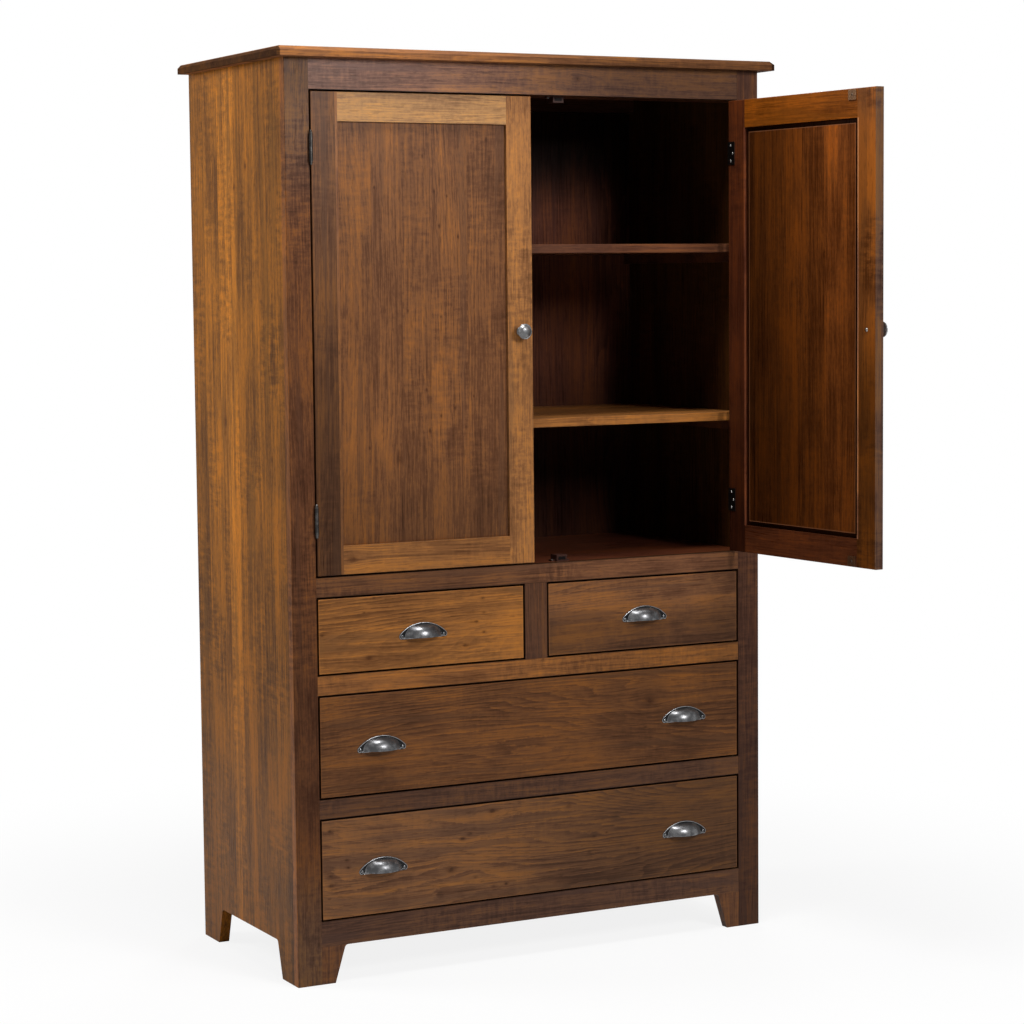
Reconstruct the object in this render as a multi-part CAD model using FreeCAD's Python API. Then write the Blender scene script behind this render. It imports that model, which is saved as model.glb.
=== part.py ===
import FreeCAD, Part
import math
import os

# Armoire with a pair of framed doors over four inset drawers, in millimetres.
# +Z is up, the front faces -Y, and the origin is on the floor under the middle of the case.
# The left door is shut and the right door stands open.

Vector = FreeCAD.Vector
ORIGIN = Vector(0, 0, 0)
UP = Vector(0, 0, 1)

# Case and face frame
CASE_WIDTH = 1066.8
CASE_DEPTH = 500.0
SIDE_THICKNESS = 22.0
FRAME_THICKNESS = 20.0
STILE_WIDTH = 50.8
CENTRE_STILE_WIDTH = 50.8
RAIL_HEIGHT = 38.4
APRON_HEIGHT = 50.0
TOP_RAIL_HEIGHT = 60.0
EDGE_ROUND = 1.5

# Openings in the face frame, from the lowest up
LOWER_OPENING = 203.5
MIDDLE_OPENING = 205.5
SMALL_OPENING = 154.0
DOOR_OPENING = 939.5
REVEAL = 3.4
MEETING_GAP = 3.2

# Feet: the cut-out between them narrows upwards
FOOT_HEIGHT = 74.5
FOOT_SOLE = 79.5
FOOT_SHOULDER = 102.0
FOOT_CORNER_RADIUS = 8.0

# Top board
TOP_THICKNESS = 19.0
TOP_OVERHANG_FRONT = 27.5
TOP_OVERHANG_SIDE = 24.0
TOP_CHAMFER = 7.2

# Inner boards
BACK_THICKNESS = 6.0
BACK_RABBET = 9.0
FLOOR_THICKNESS = 19.0
BASE_THICKNESS = 12.0
FRONT_STRETCHER_THICKNESS = 19.0
FRONT_STRETCHER_DEPTH = 70.0
BACK_STRETCHER_THICKNESS = 20.0

# Shelves, with the height of each underside above the cupboard floor
SHELF_THICKNESS = 18.2
LOWER_SHELF_RISE = 273.4
UPPER_SHELF_RISE = 625.5
SHELF_SETBACK = 15.0
SHELF_END_CLEARANCE = 1.0
SHELF_BACK_CLEARANCE = 2.0
CLEAT_WIDTH = 16.0
CLEAT_HEIGHT = 20.0
CLEAT_SETBACK = 12.0
CLEAT_SLANT = 10.0

# Doors
DOOR_THICKNESS = 20.0
DOOR_STILE_WIDTH = 56.0
DOOR_RAIL_HEIGHT = 56.5
DOOR_PANEL_THICKNESS = 9.5
PANEL_TONGUE = 6.5
PANEL_RABBET = 9.0
PANEL_GROOVE = 10.0
PANEL_FLOAT = 1.0
PANEL_SIDE_CLEARANCE = 0.1
TONGUE_RELIEF = 0.5
DOOR_REST_ANGLE = 94.0

# Wrap hinges
HINGE_END_DISTANCE = 107.5
BARREL_RADIUS = 4.0
BARREL_LENGTH = 54.0
KNUCKLE_GAP = 0.4
PIN_WIRE_RADIUS = 2.0
HINGE_CLEARANCE = 0.05
FINIAL_RADIUS = 3.4
FINIAL_COLLAR = 2.0
FINIAL_NECK = 1.0
FINIAL_BALL_RADIUS = 3.0
LEAF_THICKNESS = 1.3
LEAF_SETBACK = 3.5
LEAF_START = 0.35
DOOR_LEAF_WIDTH = 22.0
FRAME_LEAF_MARGIN = 8.0

# Magnetic catches and their strike plates
CATCH_FROM_CENTRE = 73.0
CATCH_WIDTH = 24.0
CATCH_DEPTH = 26.0
CATCH_HEIGHT = 13.0
CATCH_EAR_SPAN = 41.0
CATCH_EAR_DEPTH = 12.0
CATCH_EAR_THICKNESS = 3.0
MAGNET_WIDTH = 16.0
MAGNET_HEIGHT = 6.0
MAGNET_DEPTH = 8.0
MAGNET_PROUD = 0.6
CATCH_GAP = 0.3
STRIKE_WIDTH = 24.0
STRIKE_HEIGHT = 20.0
STRIKE_THICKNESS = 1.5
STRIKE_MARGIN = 1.5

# Mushroom knobs
KNOB_RADIUS = 15.7
KNOB_PROJECTION = 27.0
KNOB_CAP_THICKNESS = 11.0
KNOB_RIM_RISE = 2.5
KNOB_RIM_THICKNESS = 2.4
KNOB_RIM_ROUND = 0.6
KNOB_NECK_RADIUS = 6.2
KNOB_BASE_RADIUS = 9.0
KNOB_BASE_THICKNESS = 2.6
KNOB_COVE = 2.6

# Drawers
DRAWER_FRONT_THICKNESS = 20.0
DRAWER_SIDE_THICKNESS = 12.7
DRAWER_SIDE_DROP = 22.0
DRAWER_BACK_CLEARANCE = 15.0
DRAWER_BOTTOM_THICKNESS = 6.0
DRAWER_BOTTOM_RISE = 10.0
DRAWER_BOTTOM_GROOVE = 6.0
DRAWER_BOTTOM_CLEARANCE = 0.15
TAIL_DEPTH = 12.0
TAIL_PITCH = 34.0
TAIL_ROOT_SHARE = 0.5
TAIL_ANGLE = 9.0

# Wooden drawer runners
RUNNER_HEIGHT = 22.0
RUNNER_GUIDE_HEIGHT = 24.0
RUNNER_CLEARANCE = 0.5

# Cup pulls
PULL_INSET = 131.5
PULL_EAR_SPACING = 92.0
PULL_EAR_RADIUS = 6.5
PULL_RISE = 25.5
PULL_DROP = 1.2
PULL_FLANGE = 1.8
PULL_CUP_WIDTH = 83.0
PULL_CUP_TOP = 21.3
PULL_CUP_FOOT = -3.5
PULL_CUP_PROJECTION = 22.5
PULL_WALL = 1.6

# Facets round the turned pieces and up their domes, and the angle at which a dome ends in a small flat
KNOB_SIDES = 20
KNOB_BANDS = 4
FINIAL_SIDES = 12
FINIAL_BANDS = 3
CUP_SIDES = 40
CUP_BANDS = 4
DOME_END = math.radians(84)

# Planes that the pieces share
CASE_LEFT = -CASE_WIDTH / 2
INNER_LEFT = CASE_LEFT + SIDE_THICKNESS
OPENING_LEFT = CASE_LEFT + STILE_WIDTH
CENTRE_LEFT = -CENTRE_STILE_WIDTH / 2
FRONT = -CASE_DEPTH / 2
FRAME_BACK = FRONT + FRAME_THICKNESS
BACK = CASE_DEPTH / 2
PANEL_FRONT = BACK - BACK_THICKNESS

LOWER_Z = FOOT_HEIGHT + APRON_HEIGHT
LOWER_TOP = LOWER_Z + LOWER_OPENING
MIDDLE_Z = LOWER_TOP + RAIL_HEIGHT
MIDDLE_TOP = MIDDLE_Z + MIDDLE_OPENING
SMALL_Z = MIDDLE_TOP + RAIL_HEIGHT
SMALL_TOP = SMALL_Z + SMALL_OPENING
DOOR_Z = SMALL_TOP + RAIL_HEIGHT
DOOR_TOP = DOOR_Z + DOOR_OPENING
CASE_TOP = DOOR_TOP + TOP_RAIL_HEIGHT

SHELF_FRONT = FRAME_BACK + SHELF_SETBACK
SHELF_BACK = PANEL_FRONT - SHELF_BACK_CLEARANCE
SHELF_UNDERSIDES = (DOOR_Z + LOWER_SHELF_RISE, DOOR_Z + UPPER_SHELF_RISE)

LEAF_LEFT = OPENING_LEFT + REVEAL
LEAF_RIGHT = -MEETING_GAP / 2
LEAF_BOTTOM = DOOR_Z + REVEAL
LEAF_TOP = DOOR_TOP - REVEAL
DOOR_BACK = FRONT + DOOR_THICKNESS
HINGE_X = OPENING_LEFT + REVEAL / 2
HINGE_Y = FRONT - BARREL_RADIUS
HINGE_HEIGHTS = (LEAF_BOTTOM + HINGE_END_DISTANCE, LEAF_TOP - HINGE_END_DISTANCE)
BOX_BACK = PANEL_FRONT - DRAWER_BACK_CLEARANCE


def box(x0, x1, y0, y1, z0, z1):
    return Part.makeBox(x1 - x0, y1 - y0, z1 - z0, Vector(x0, y0, z0))


def mirrored(shape):
    return shape.mirror(ORIGIN, Vector(1, 0, 0))


def prism(points, run):
    """A solid from a closed outline of (x, y, z) points, drawn out along run."""
    corners = [Vector(*point) for point in points]
    outline = Part.makePolygon(corners + corners[:1])
    return Part.Face(outline).extrude(run)


def eased(shape, chosen):
    """Rounds the edges whose bounding box passes the test."""
    edges = [edge for edge in shape.Edges if chosen(edge.BoundBox)]
    return shape.makeFillet(EDGE_ROUND, edges)


def at(value, place):
    return abs(value - place) < 1e-4


def on_front(bounds):
    return at(bounds.YMin, FRONT) and at(bounds.YMax, FRONT)


def upright(bounds):
    return bounds.ZLength > max(bounds.XLength, bounds.YLength)


def turned(stations, sides):
    """A solid turned about Z from (radius, height) stations, with flat facets round it."""
    turns = [2 * math.pi * (index + 0.5) / sides for index in range(sides)]
    rings = []
    for radius, height in stations:
        rings.append([Vector(radius * math.cos(turn), radius * math.sin(turn), height) for turn in turns])
    outlines = [rings[0], rings[-1]]
    for low, high in zip(rings, rings[1:]):
        for index in range(sides):
            outlines.append([low[index - 1], low[index], high[index], high[index - 1]])
    shell = Part.makeShell([Part.Face(Part.makePolygon(outline + outline[:1])) for outline in outlines])
    shell.sewShape()
    return Part.makeSolid(shell)


def dome_stations(radius, centre, start, bands):
    """Stations up a ball whose centre is on the axis, from the angle start to its small flat."""
    angles = [start + (DOME_END - start) * band / bands for band in range(bands + 1)]
    return [(radius * math.cos(angle), centre + radius * math.sin(angle)) for angle in angles]


def save(node, *solids):
    shape = solids[0] if len(solids) == 1 else Part.makeCompound(list(solids))
    shape.exportStep(f"parts/{node}.step")


# Feet

def foot_gap(length, depth):
    """The space between two feet: centred on X = 0, from Y = 0 backwards, corners rounded at its top."""
    sole = length / 2 - FOOT_SOLE
    shoulder = length / 2 - FOOT_SHOULDER
    outline = ((-sole, 0, 0), (sole, 0, 0), (shoulder, 0, FOOT_HEIGHT), (-shoulder, 0, FOOT_HEIGHT))
    gap = prism(outline, Vector(0, depth, 0))

    def top_corner(bounds):
        return at(bounds.ZMin, FOOT_HEIGHT) and bounds.XLength < bounds.YLength

    corners = [edge for edge in gap.Edges if top_corner(edge.BoundBox)]
    return gap.makeFillet(FOOT_CORNER_RADIUS, corners)


def foot_block():
    """The wedge beside the left stile, under the apron."""
    reach = CASE_LEFT + max(FOOT_SOLE, FOOT_SHOULDER) + FOOT_CORNER_RADIUS
    blank = box(OPENING_LEFT, reach, FRONT, FRAME_BACK, 0, FOOT_HEIGHT)
    gap = foot_gap(CASE_WIDTH, FRAME_THICKNESS)
    gap.translate(Vector(0, FRONT, 0))
    return blank.cut(gap)


# Case

def side_board():
    """The left side, with feet at its ends and a rabbet for the back."""
    board = box(CASE_LEFT, INNER_LEFT, FRAME_BACK, BACK, 0, CASE_TOP)
    gap = foot_gap(CASE_DEPTH, SIDE_THICKNESS)
    gap.rotate(ORIGIN, UP, -90)
    gap.translate(Vector(CASE_LEFT, 0, 0))
    rabbet = box(INNER_LEFT - BACK_RABBET, INNER_LEFT, PANEL_FRONT, BACK, FOOT_HEIGHT, CASE_TOP)
    return board.cut(gap).cut(rabbet)


def shelf_cleat(underside):
    """A batten on the left side that carries the end of a shelf, slanted at its front."""
    front = SHELF_FRONT + CLEAT_SETBACK
    foot = underside - CLEAT_HEIGHT
    outline = ((front, underside), (SHELF_BACK, underside), (SHELF_BACK, foot), (front + CLEAT_SLANT, foot))
    return prism([(INNER_LEFT, y, z) for y, z in outline], Vector(CLEAT_WIDTH, 0, 0))


def shelf(underside):
    left = INNER_LEFT + SHELF_END_CLEARANCE
    board = box(left, -left, SHELF_FRONT, SHELF_BACK, underside, underside + SHELF_THICKNESS)
    return eased(board, lambda b: at(b.YMax, SHELF_FRONT) and b.XLength > b.ZLength)


def stile():
    """The left upright of the face frame, which runs down to the floor as a foot."""
    upright_board = box(CASE_LEFT, OPENING_LEFT, FRONT, FRAME_BACK, 0, CASE_TOP)
    return eased(upright_board, lambda b: on_front(b) and upright(b) and at(b.XMin, CASE_LEFT))


def inner_board(y0, y1, z0, z1):
    """A level or upright board from one side to the other."""
    return box(INNER_LEFT, -INNER_LEFT, y0, y1, z0, z1)


def rail(z0, z1):
    return box(OPENING_LEFT, -OPENING_LEFT, FRONT, FRAME_BACK, z0, z1)


def top_board():
    left = CASE_LEFT - TOP_OVERHANG_SIDE
    front = FRONT - TOP_OVERHANG_FRONT
    board = box(left, -left, front, BACK, CASE_TOP, CASE_TOP + TOP_THICKNESS)

    def shown_top_edge(bounds):
        return at(bounds.ZMin, CASE_TOP + TOP_THICKNESS) and not at(bounds.YMin, BACK)

    edges = [edge for edge in board.Edges if shown_top_edge(edge.BoundBox)]
    return board.makeChamfer(TOP_CHAMFER, edges)


def make_case():
    left_side = side_board()
    save("side_left", left_side)
    save("side_right", mirrored(left_side))
    save("stile_left", stile())
    save("stile_right", mirrored(stile()))
    save("foot_blocks", foot_block(), mirrored(foot_block()))
    save("apron", rail(FOOT_HEIGHT, LOWER_Z))
    save("lower_drawer_rail", rail(LOWER_TOP, MIDDLE_Z))
    save("upper_drawer_rail", rail(MIDDLE_TOP, SMALL_Z))
    save("door_rail", rail(SMALL_TOP, DOOR_Z))
    save("top_rail", rail(DOOR_TOP, CASE_TOP))
    save("centre_stile", box(CENTRE_LEFT, -CENTRE_LEFT, FRONT, FRAME_BACK, SMALL_Z, SMALL_TOP))
    save("top_board", top_board())
    back_left = INNER_LEFT - BACK_RABBET
    save("back_panel", box(back_left, -back_left, PANEL_FRONT, BACK, FOOT_HEIGHT, CASE_TOP))
    save("cupboard_floor", inner_board(FRAME_BACK, PANEL_FRONT, DOOR_Z - FLOOR_THICKNESS, DOOR_Z))
    save("base_panel", inner_board(FRAME_BACK, PANEL_FRONT, FOOT_HEIGHT, FOOT_HEIGHT + BASE_THICKNESS))
    stretcher_back = FRAME_BACK + FRONT_STRETCHER_DEPTH
    stretcher_top = DOOR_TOP + FRONT_STRETCHER_THICKNESS
    save("front_stretcher", inner_board(FRAME_BACK, stretcher_back, DOOR_TOP, stretcher_top))
    stretcher_front = PANEL_FRONT - BACK_STRETCHER_THICKNESS
    save("back_stretcher", inner_board(stretcher_front, PANEL_FRONT, DOOR_TOP, CASE_TOP))
    save("shelf_lower", shelf(SHELF_UNDERSIDES[0]))
    save("shelf_upper", shelf(SHELF_UNDERSIDES[1]))
    left_cleats = [shelf_cleat(underside) for underside in SHELF_UNDERSIDES]
    save("shelf_cleats", *left_cleats, *[mirrored(cleat) for cleat in left_cleats])


# Drawer runners

def side_runner(opening_z):
    """An L-shaped runner on the left side: a ledge under the drawer side and a guide beside it."""
    run = opening_z + REVEAL
    foot = run - RUNNER_HEIGHT
    guide_top = run + RUNNER_GUIDE_HEIGHT
    guide = OPENING_LEFT + REVEAL - RUNNER_CLEARANCE
    ledge = OPENING_LEFT + REVEAL + DRAWER_SIDE_THICKNESS
    section = (
        (INNER_LEFT, foot), (ledge, foot), (ledge, run),
        (guide, run), (guide, guide_top), (INNER_LEFT, guide_top),
    )
    return prism([(x, FRAME_BACK, z) for x, z in section], Vector(0, PANEL_FRONT - FRAME_BACK, 0))


def centre_runner():
    """A T-shaped runner behind the centre stile, which carries both small drawers."""
    run = SMALL_Z + REVEAL
    guide = CENTRE_LEFT - REVEAL + RUNNER_CLEARANCE
    ledge = CENTRE_LEFT - REVEAL - DRAWER_SIDE_THICKNESS
    bed = box(ledge, -ledge, FRAME_BACK, PANEL_FRONT, run - RUNNER_HEIGHT, run)
    fence = box(guide, -guide, FRAME_BACK, PANEL_FRONT, run, run + RUNNER_GUIDE_HEIGHT)
    return bed.fuse(fence).removeSplitter()


def make_runners():
    left = [side_runner(opening_z) for opening_z in (LOWER_Z, MIDDLE_Z, SMALL_Z)]
    save("drawer_runners", *left, *[mirrored(runner) for runner in left])
    save("centre_runner", centre_runner())


# Drawers

def tails(x0, x1, root, tip, z0, z1):
    """Dovetails on the end of a drawer side, spread evenly from z0 to z1 and widening towards the tip."""
    count = max(2, round((z1 - z0) / TAIL_PITCH))
    pitch = (z1 - z0) / count
    at_root = pitch * TAIL_ROOT_SHARE / 2
    at_tip = at_root + abs(tip - root) * math.tan(math.radians(TAIL_ANGLE))
    shapes = []
    for index in range(count):
        middle = z0 + (index + 0.5) * pitch
        outline = (
            (x0, root, middle - at_root), (x0, tip, middle - at_tip),
            (x0, tip, middle + at_tip), (x0, root, middle + at_root),
        )
        shapes.append(prism(outline, Vector(x1 - x0, 0, 0)))
    return shapes


def drawer(name, x0, x1, z0, z1, pull_places):
    """An inset drawer with a dovetailed box, in the face-frame opening from (x0, z0) to (x1, z1)."""
    left = x0 + REVEAL
    right = x1 - REVEAL
    bottom = z0 + REVEAL
    front_back = FRONT + DRAWER_FRONT_THICKNESS
    side_top = z1 - REVEAL - DRAWER_SIDE_DROP
    floor = bottom + DRAWER_BOTTOM_RISE
    floor_top = floor + DRAWER_BOTTOM_THICKNESS
    back_front = BOX_BACK - DRAWER_SIDE_THICKNESS

    board = box(left, right, FRONT, front_back, bottom, z1 - REVEAL)
    board = eased(board, on_front)
    back = box(left, right, back_front, BOX_BACK, floor_top, side_top)
    slack = DRAWER_BOTTOM_CLEARANCE
    panel_left = left + DRAWER_SIDE_THICKNESS - DRAWER_BOTTOM_GROOVE
    panel_right = right - DRAWER_SIDE_THICKNESS + DRAWER_BOTTOM_GROOVE
    panel_front = front_back - DRAWER_BOTTOM_GROOVE
    panel = box(panel_left + slack, panel_right - slack, panel_front + slack, BOX_BACK, floor, floor_top)
    groove = box(panel_left, panel_right, panel_front, BOX_BACK, floor, floor_top)

    sides = []
    for outer, inner in ((left, left + DRAWER_SIDE_THICKNESS), (right - DRAWER_SIDE_THICKNESS, right)):
        front_tails = tails(outer, inner, front_back, front_back - TAIL_DEPTH, bottom, side_top)
        back_tails = tails(outer, inner, back_front, BOX_BACK, floor_top, side_top)
        side = box(outer, inner, front_back, back_front, bottom, side_top)
        side = side.fuse(front_tails + back_tails).removeSplitter()
        sides.append(side.cut(groove))
        board = board.cut(Part.makeCompound(front_tails))
        back = back.cut(Part.makeCompound(back_tails))

    save(f"{name}_front", board.cut(groove))
    save(f"{name}_box", *sides, back)
    save(f"{name}_bottom", panel)
    save(f"{name}_pulls", *[cup_pull(x, (z0 + z1) / 2) for x in pull_places])


# Cup pulls

def cup(inset):
    """The cup, or its hollow when inset by the wall, turned about an upright line behind the drawer front."""
    axis = (PULL_CUP_WIDTH ** 2 / 4 - PULL_CUP_PROJECTION ** 2) / (2 * PULL_CUP_PROJECTION)
    projection = PULL_CUP_PROJECTION - inset
    height = PULL_CUP_TOP - PULL_CUP_FOOT - inset
    stations = []
    for band in range(CUP_BANDS + 1):
        turn = math.pi / 2 * band / CUP_BANDS
        stations.append((axis + projection * math.cos(turn), height * math.sin(turn) + PULL_CUP_FOOT))
    form = turned(stations, CUP_SIDES)
    form.translate(Vector(0, axis, 0))
    return form


def flange_plate():
    """The flat rim: two round ears that hang below the cup's foot, and an arch that is tangent to both."""
    half = PULL_EAR_SPACING / 2
    ear = PULL_EAR_RADIUS
    lift = PULL_RISE - ear
    arch_centre = (lift ** 2 - half ** 2) / (2 * lift)
    arch_radius = PULL_RISE - arch_centre
    away = math.atan2(-arch_centre, half)
    touch_x = half + ear * math.cos(away)
    touch_z = ear * math.sin(away)
    foot_x = half - math.sqrt(ear ** 2 - PULL_CUP_FOOT ** 2)

    def point(x, z):
        return Vector(x, 0, z)

    edges = [
        Part.LineSegment(point(-foot_x, PULL_CUP_FOOT), point(foot_x, PULL_CUP_FOOT)),
        Part.Arc(point(foot_x, PULL_CUP_FOOT), point(half, -ear), point(touch_x, touch_z)),
        Part.Arc(point(touch_x, touch_z), point(0, arch_centre + arch_radius), point(-touch_x, touch_z)),
        Part.Arc(point(-touch_x, touch_z), point(-half, -ear), point(-foot_x, PULL_CUP_FOOT)),
    ]
    outline = Part.Wire([edge.toShape() for edge in edges])
    return Part.Face(outline).extrude(Vector(0, -PULL_FLANGE, 0))


def cup_pull(x, middle_z):
    """A cup with an open foot and back, on a flange that lies against the drawer front."""
    reach = PULL_EAR_SPACING
    before_front = box(-reach, reach, -reach, 0, -reach, reach)
    pull = cup(0).common(before_front).fuse(flange_plate()).cut(cup(PULL_WALL)).removeSplitter()
    overall = PULL_RISE + PULL_EAR_RADIUS
    pull.translate(Vector(x, FRONT, middle_z - PULL_DROP - PULL_RISE + overall / 2))
    return pull.Solids[0]


def make_drawers():
    right = -OPENING_LEFT
    pull_x = OPENING_LEFT + REVEAL + PULL_INSET
    small_middle = (OPENING_LEFT + CENTRE_LEFT) / 2
    drawer("left_small_drawer", OPENING_LEFT, CENTRE_LEFT, SMALL_Z, SMALL_TOP, (small_middle,))
    drawer("right_small_drawer", -CENTRE_LEFT, right, SMALL_Z, SMALL_TOP, (-small_middle,))
    drawer("middle_drawer", OPENING_LEFT, right, MIDDLE_Z, MIDDLE_TOP, (pull_x, -pull_x))
    drawer("lower_drawer", OPENING_LEFT, right, LOWER_Z, LOWER_TOP, (pull_x, -pull_x))


# Hinges

def knuckle(z0, z1):
    height = z1 - z0
    place = Vector(HINGE_X, HINGE_Y, z0)
    ring = Part.makeCylinder(BARREL_RADIUS, height, place)
    return ring.cut(Part.makeCylinder(PIN_WIRE_RADIUS + HINGE_CLEARANCE, height, place))


def leaf_neck(x0, x1, z0, z1):
    """The stretch of leaf that comes forward out of the gap into a knuckle."""
    inside = HINGE_Y + (BARREL_RADIUS + PIN_WIRE_RADIUS + HINGE_CLEARANCE) / 2
    return box(x0, x1, inside, FRONT + LEAF_START, z0, z1)


def hinge_leaves(middle):
    """The frame leaf and the door leaf of one hinge: each lines its side of the gap and wraps behind it."""
    bottom = middle - BARREL_LENGTH / 2
    top = middle + BARREL_LENGTH / 2
    third = BARREL_LENGTH / 3
    low = bottom + LEAF_SETBACK
    high = top - LEAF_SETBACK

    frame_edge = OPENING_LEFT + LEAF_THICKNESS
    frame_end = INNER_LEFT + FRAME_LEAF_MARGIN
    frame_leaf = box(OPENING_LEFT, frame_edge, FRONT + LEAF_START, FRAME_BACK + LEAF_THICKNESS, low, high)
    frame_pieces = [box(frame_end, frame_edge, FRAME_BACK, FRAME_BACK + LEAF_THICKNESS, low, high)]
    for z0, z1 in ((bottom, bottom + third - KNUCKLE_GAP), (top - third + KNUCKLE_GAP, top)):
        frame_pieces.append(knuckle(z0, z1))
        frame_pieces.append(leaf_neck(OPENING_LEFT, frame_edge, max(z0, low), min(z1, high)))

    door_edge = LEAF_LEFT - LEAF_THICKNESS
    door_end = LEAF_LEFT + DOOR_LEAF_WIDTH
    door_leaf = box(door_edge, LEAF_LEFT, FRONT + LEAF_START, DOOR_BACK + LEAF_THICKNESS, low, high)
    door_pieces = [
        box(door_edge, door_end, DOOR_BACK, DOOR_BACK + LEAF_THICKNESS, low, high),
        knuckle(bottom + third, top - third),
        leaf_neck(door_edge, LEAF_LEFT, bottom + third, top - third),
    ]
    return frame_leaf.fuse(frame_pieces).removeSplitter(), door_leaf.fuse(door_pieces).removeSplitter()


def hinge_pin(middle):
    """The wire through the knuckles, with a collar and a ball at each end."""
    half = BARREL_LENGTH / 2
    collar = half + FINIAL_COLLAR
    neck = math.acos(PIN_WIRE_RADIUS / FINIAL_BALL_RADIUS)
    ball_centre = collar + FINIAL_NECK + FINIAL_BALL_RADIUS * math.sin(neck)
    upper = [(PIN_WIRE_RADIUS, half), (FINIAL_RADIUS, half), (FINIAL_RADIUS, collar)]
    upper += dome_stations(FINIAL_BALL_RADIUS, ball_centre, -neck, FINIAL_BANDS)
    lower = [(radius, -height) for radius, height in reversed(upper)]
    pin = turned(lower + upper, FINIAL_SIDES)
    pin.translate(Vector(HINGE_X, HINGE_Y, middle))
    return pin


# Catches

def catch(mount_z, away):
    """Body and magnet of a catch left of the middle, standing up (1) or down (-1) from mount_z."""
    face = DOOR_BACK + STRIKE_THICKNESS + CATCH_GAP
    front = face + MAGNET_PROUD
    middle_x = -CATCH_FROM_CENTRE

    def slab(width, y0, y1, rise, height):
        low, high = sorted((mount_z + away * rise, mount_z + away * (rise + height)))
        return box(middle_x - width / 2, middle_x + width / 2, y0, y1, low, high)

    ear_front = front + (CATCH_DEPTH - CATCH_EAR_DEPTH) / 2
    body = slab(CATCH_WIDTH, front, front + CATCH_DEPTH, 0, CATCH_HEIGHT)
    ears = slab(CATCH_EAR_SPAN, ear_front, ear_front + CATCH_EAR_DEPTH, 0, CATCH_EAR_THICKNESS)
    magnet = slab(MAGNET_WIDTH, face, face + MAGNET_DEPTH, (CATCH_HEIGHT - MAGNET_HEIGHT) / 2, MAGNET_HEIGHT)
    return body.fuse(ears).removeSplitter().cut(magnet), magnet


def make_catches():
    bodies, magnets = zip(catch(DOOR_TOP, -1), catch(DOOR_Z, 1))
    save("catch_bodies", *bodies, *[mirrored(body) for body in bodies])
    save("catch_magnets", *magnets, *[mirrored(magnet) for magnet in magnets])


# Doors

def grooved(x0, x1, z0, z1, groove):
    """A board of the door frame, eased along the outside of the door, less the groove for the panel."""
    board = box(x0, x1, FRONT, DOOR_BACK, z0, z1)

    def outer_edge(bounds):
        if bounds.YLength > EDGE_ROUND:
            return False
        if upright(bounds):
            return at(bounds.XMin, LEAF_LEFT) or at(bounds.XMin, LEAF_RIGHT)
        return at(bounds.ZMin, LEAF_BOTTOM) or at(bounds.ZMin, LEAF_TOP)

    return eased(board, outer_edge).cut(groove)


def knob(x, z):
    """A mushroom knob turned about a line square to the door."""
    under = KNOB_PROJECTION - KNOB_CAP_THICKNESS
    rim = under + KNOB_RIM_RISE
    crown = rim + KNOB_RIM_THICKNESS
    crown_radius = KNOB_RADIUS - KNOB_RIM_ROUND
    sagitta = KNOB_PROJECTION - crown
    dome = (crown_radius ** 2 + sagitta ** 2) / (2 * sagitta)
    stations = [
        (KNOB_BASE_RADIUS, 0), (KNOB_BASE_RADIUS, KNOB_BASE_THICKNESS),
        (KNOB_NECK_RADIUS, KNOB_BASE_THICKNESS + KNOB_COVE), (KNOB_NECK_RADIUS, under),
        (crown_radius, rim), (KNOB_RADIUS, (rim + crown) / 2),
    ]
    stations += dome_stations(dome, KNOB_PROJECTION - dome, math.acos(crown_radius / dome), KNOB_BANDS)
    mushroom = turned(stations, KNOB_SIDES)
    mushroom.rotate(ORIGIN, Vector(1, 0, 0), 90)
    mushroom.translate(Vector(x, FRONT, z))
    return mushroom


def strike(z0):
    middle_x = -CATCH_FROM_CENTRE
    half = STRIKE_WIDTH / 2
    plate_back = DOOR_BACK + STRIKE_THICKNESS
    return box(middle_x - half, middle_x + half, DOOR_BACK, plate_back, z0, z0 + STRIKE_HEIGHT)


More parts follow.
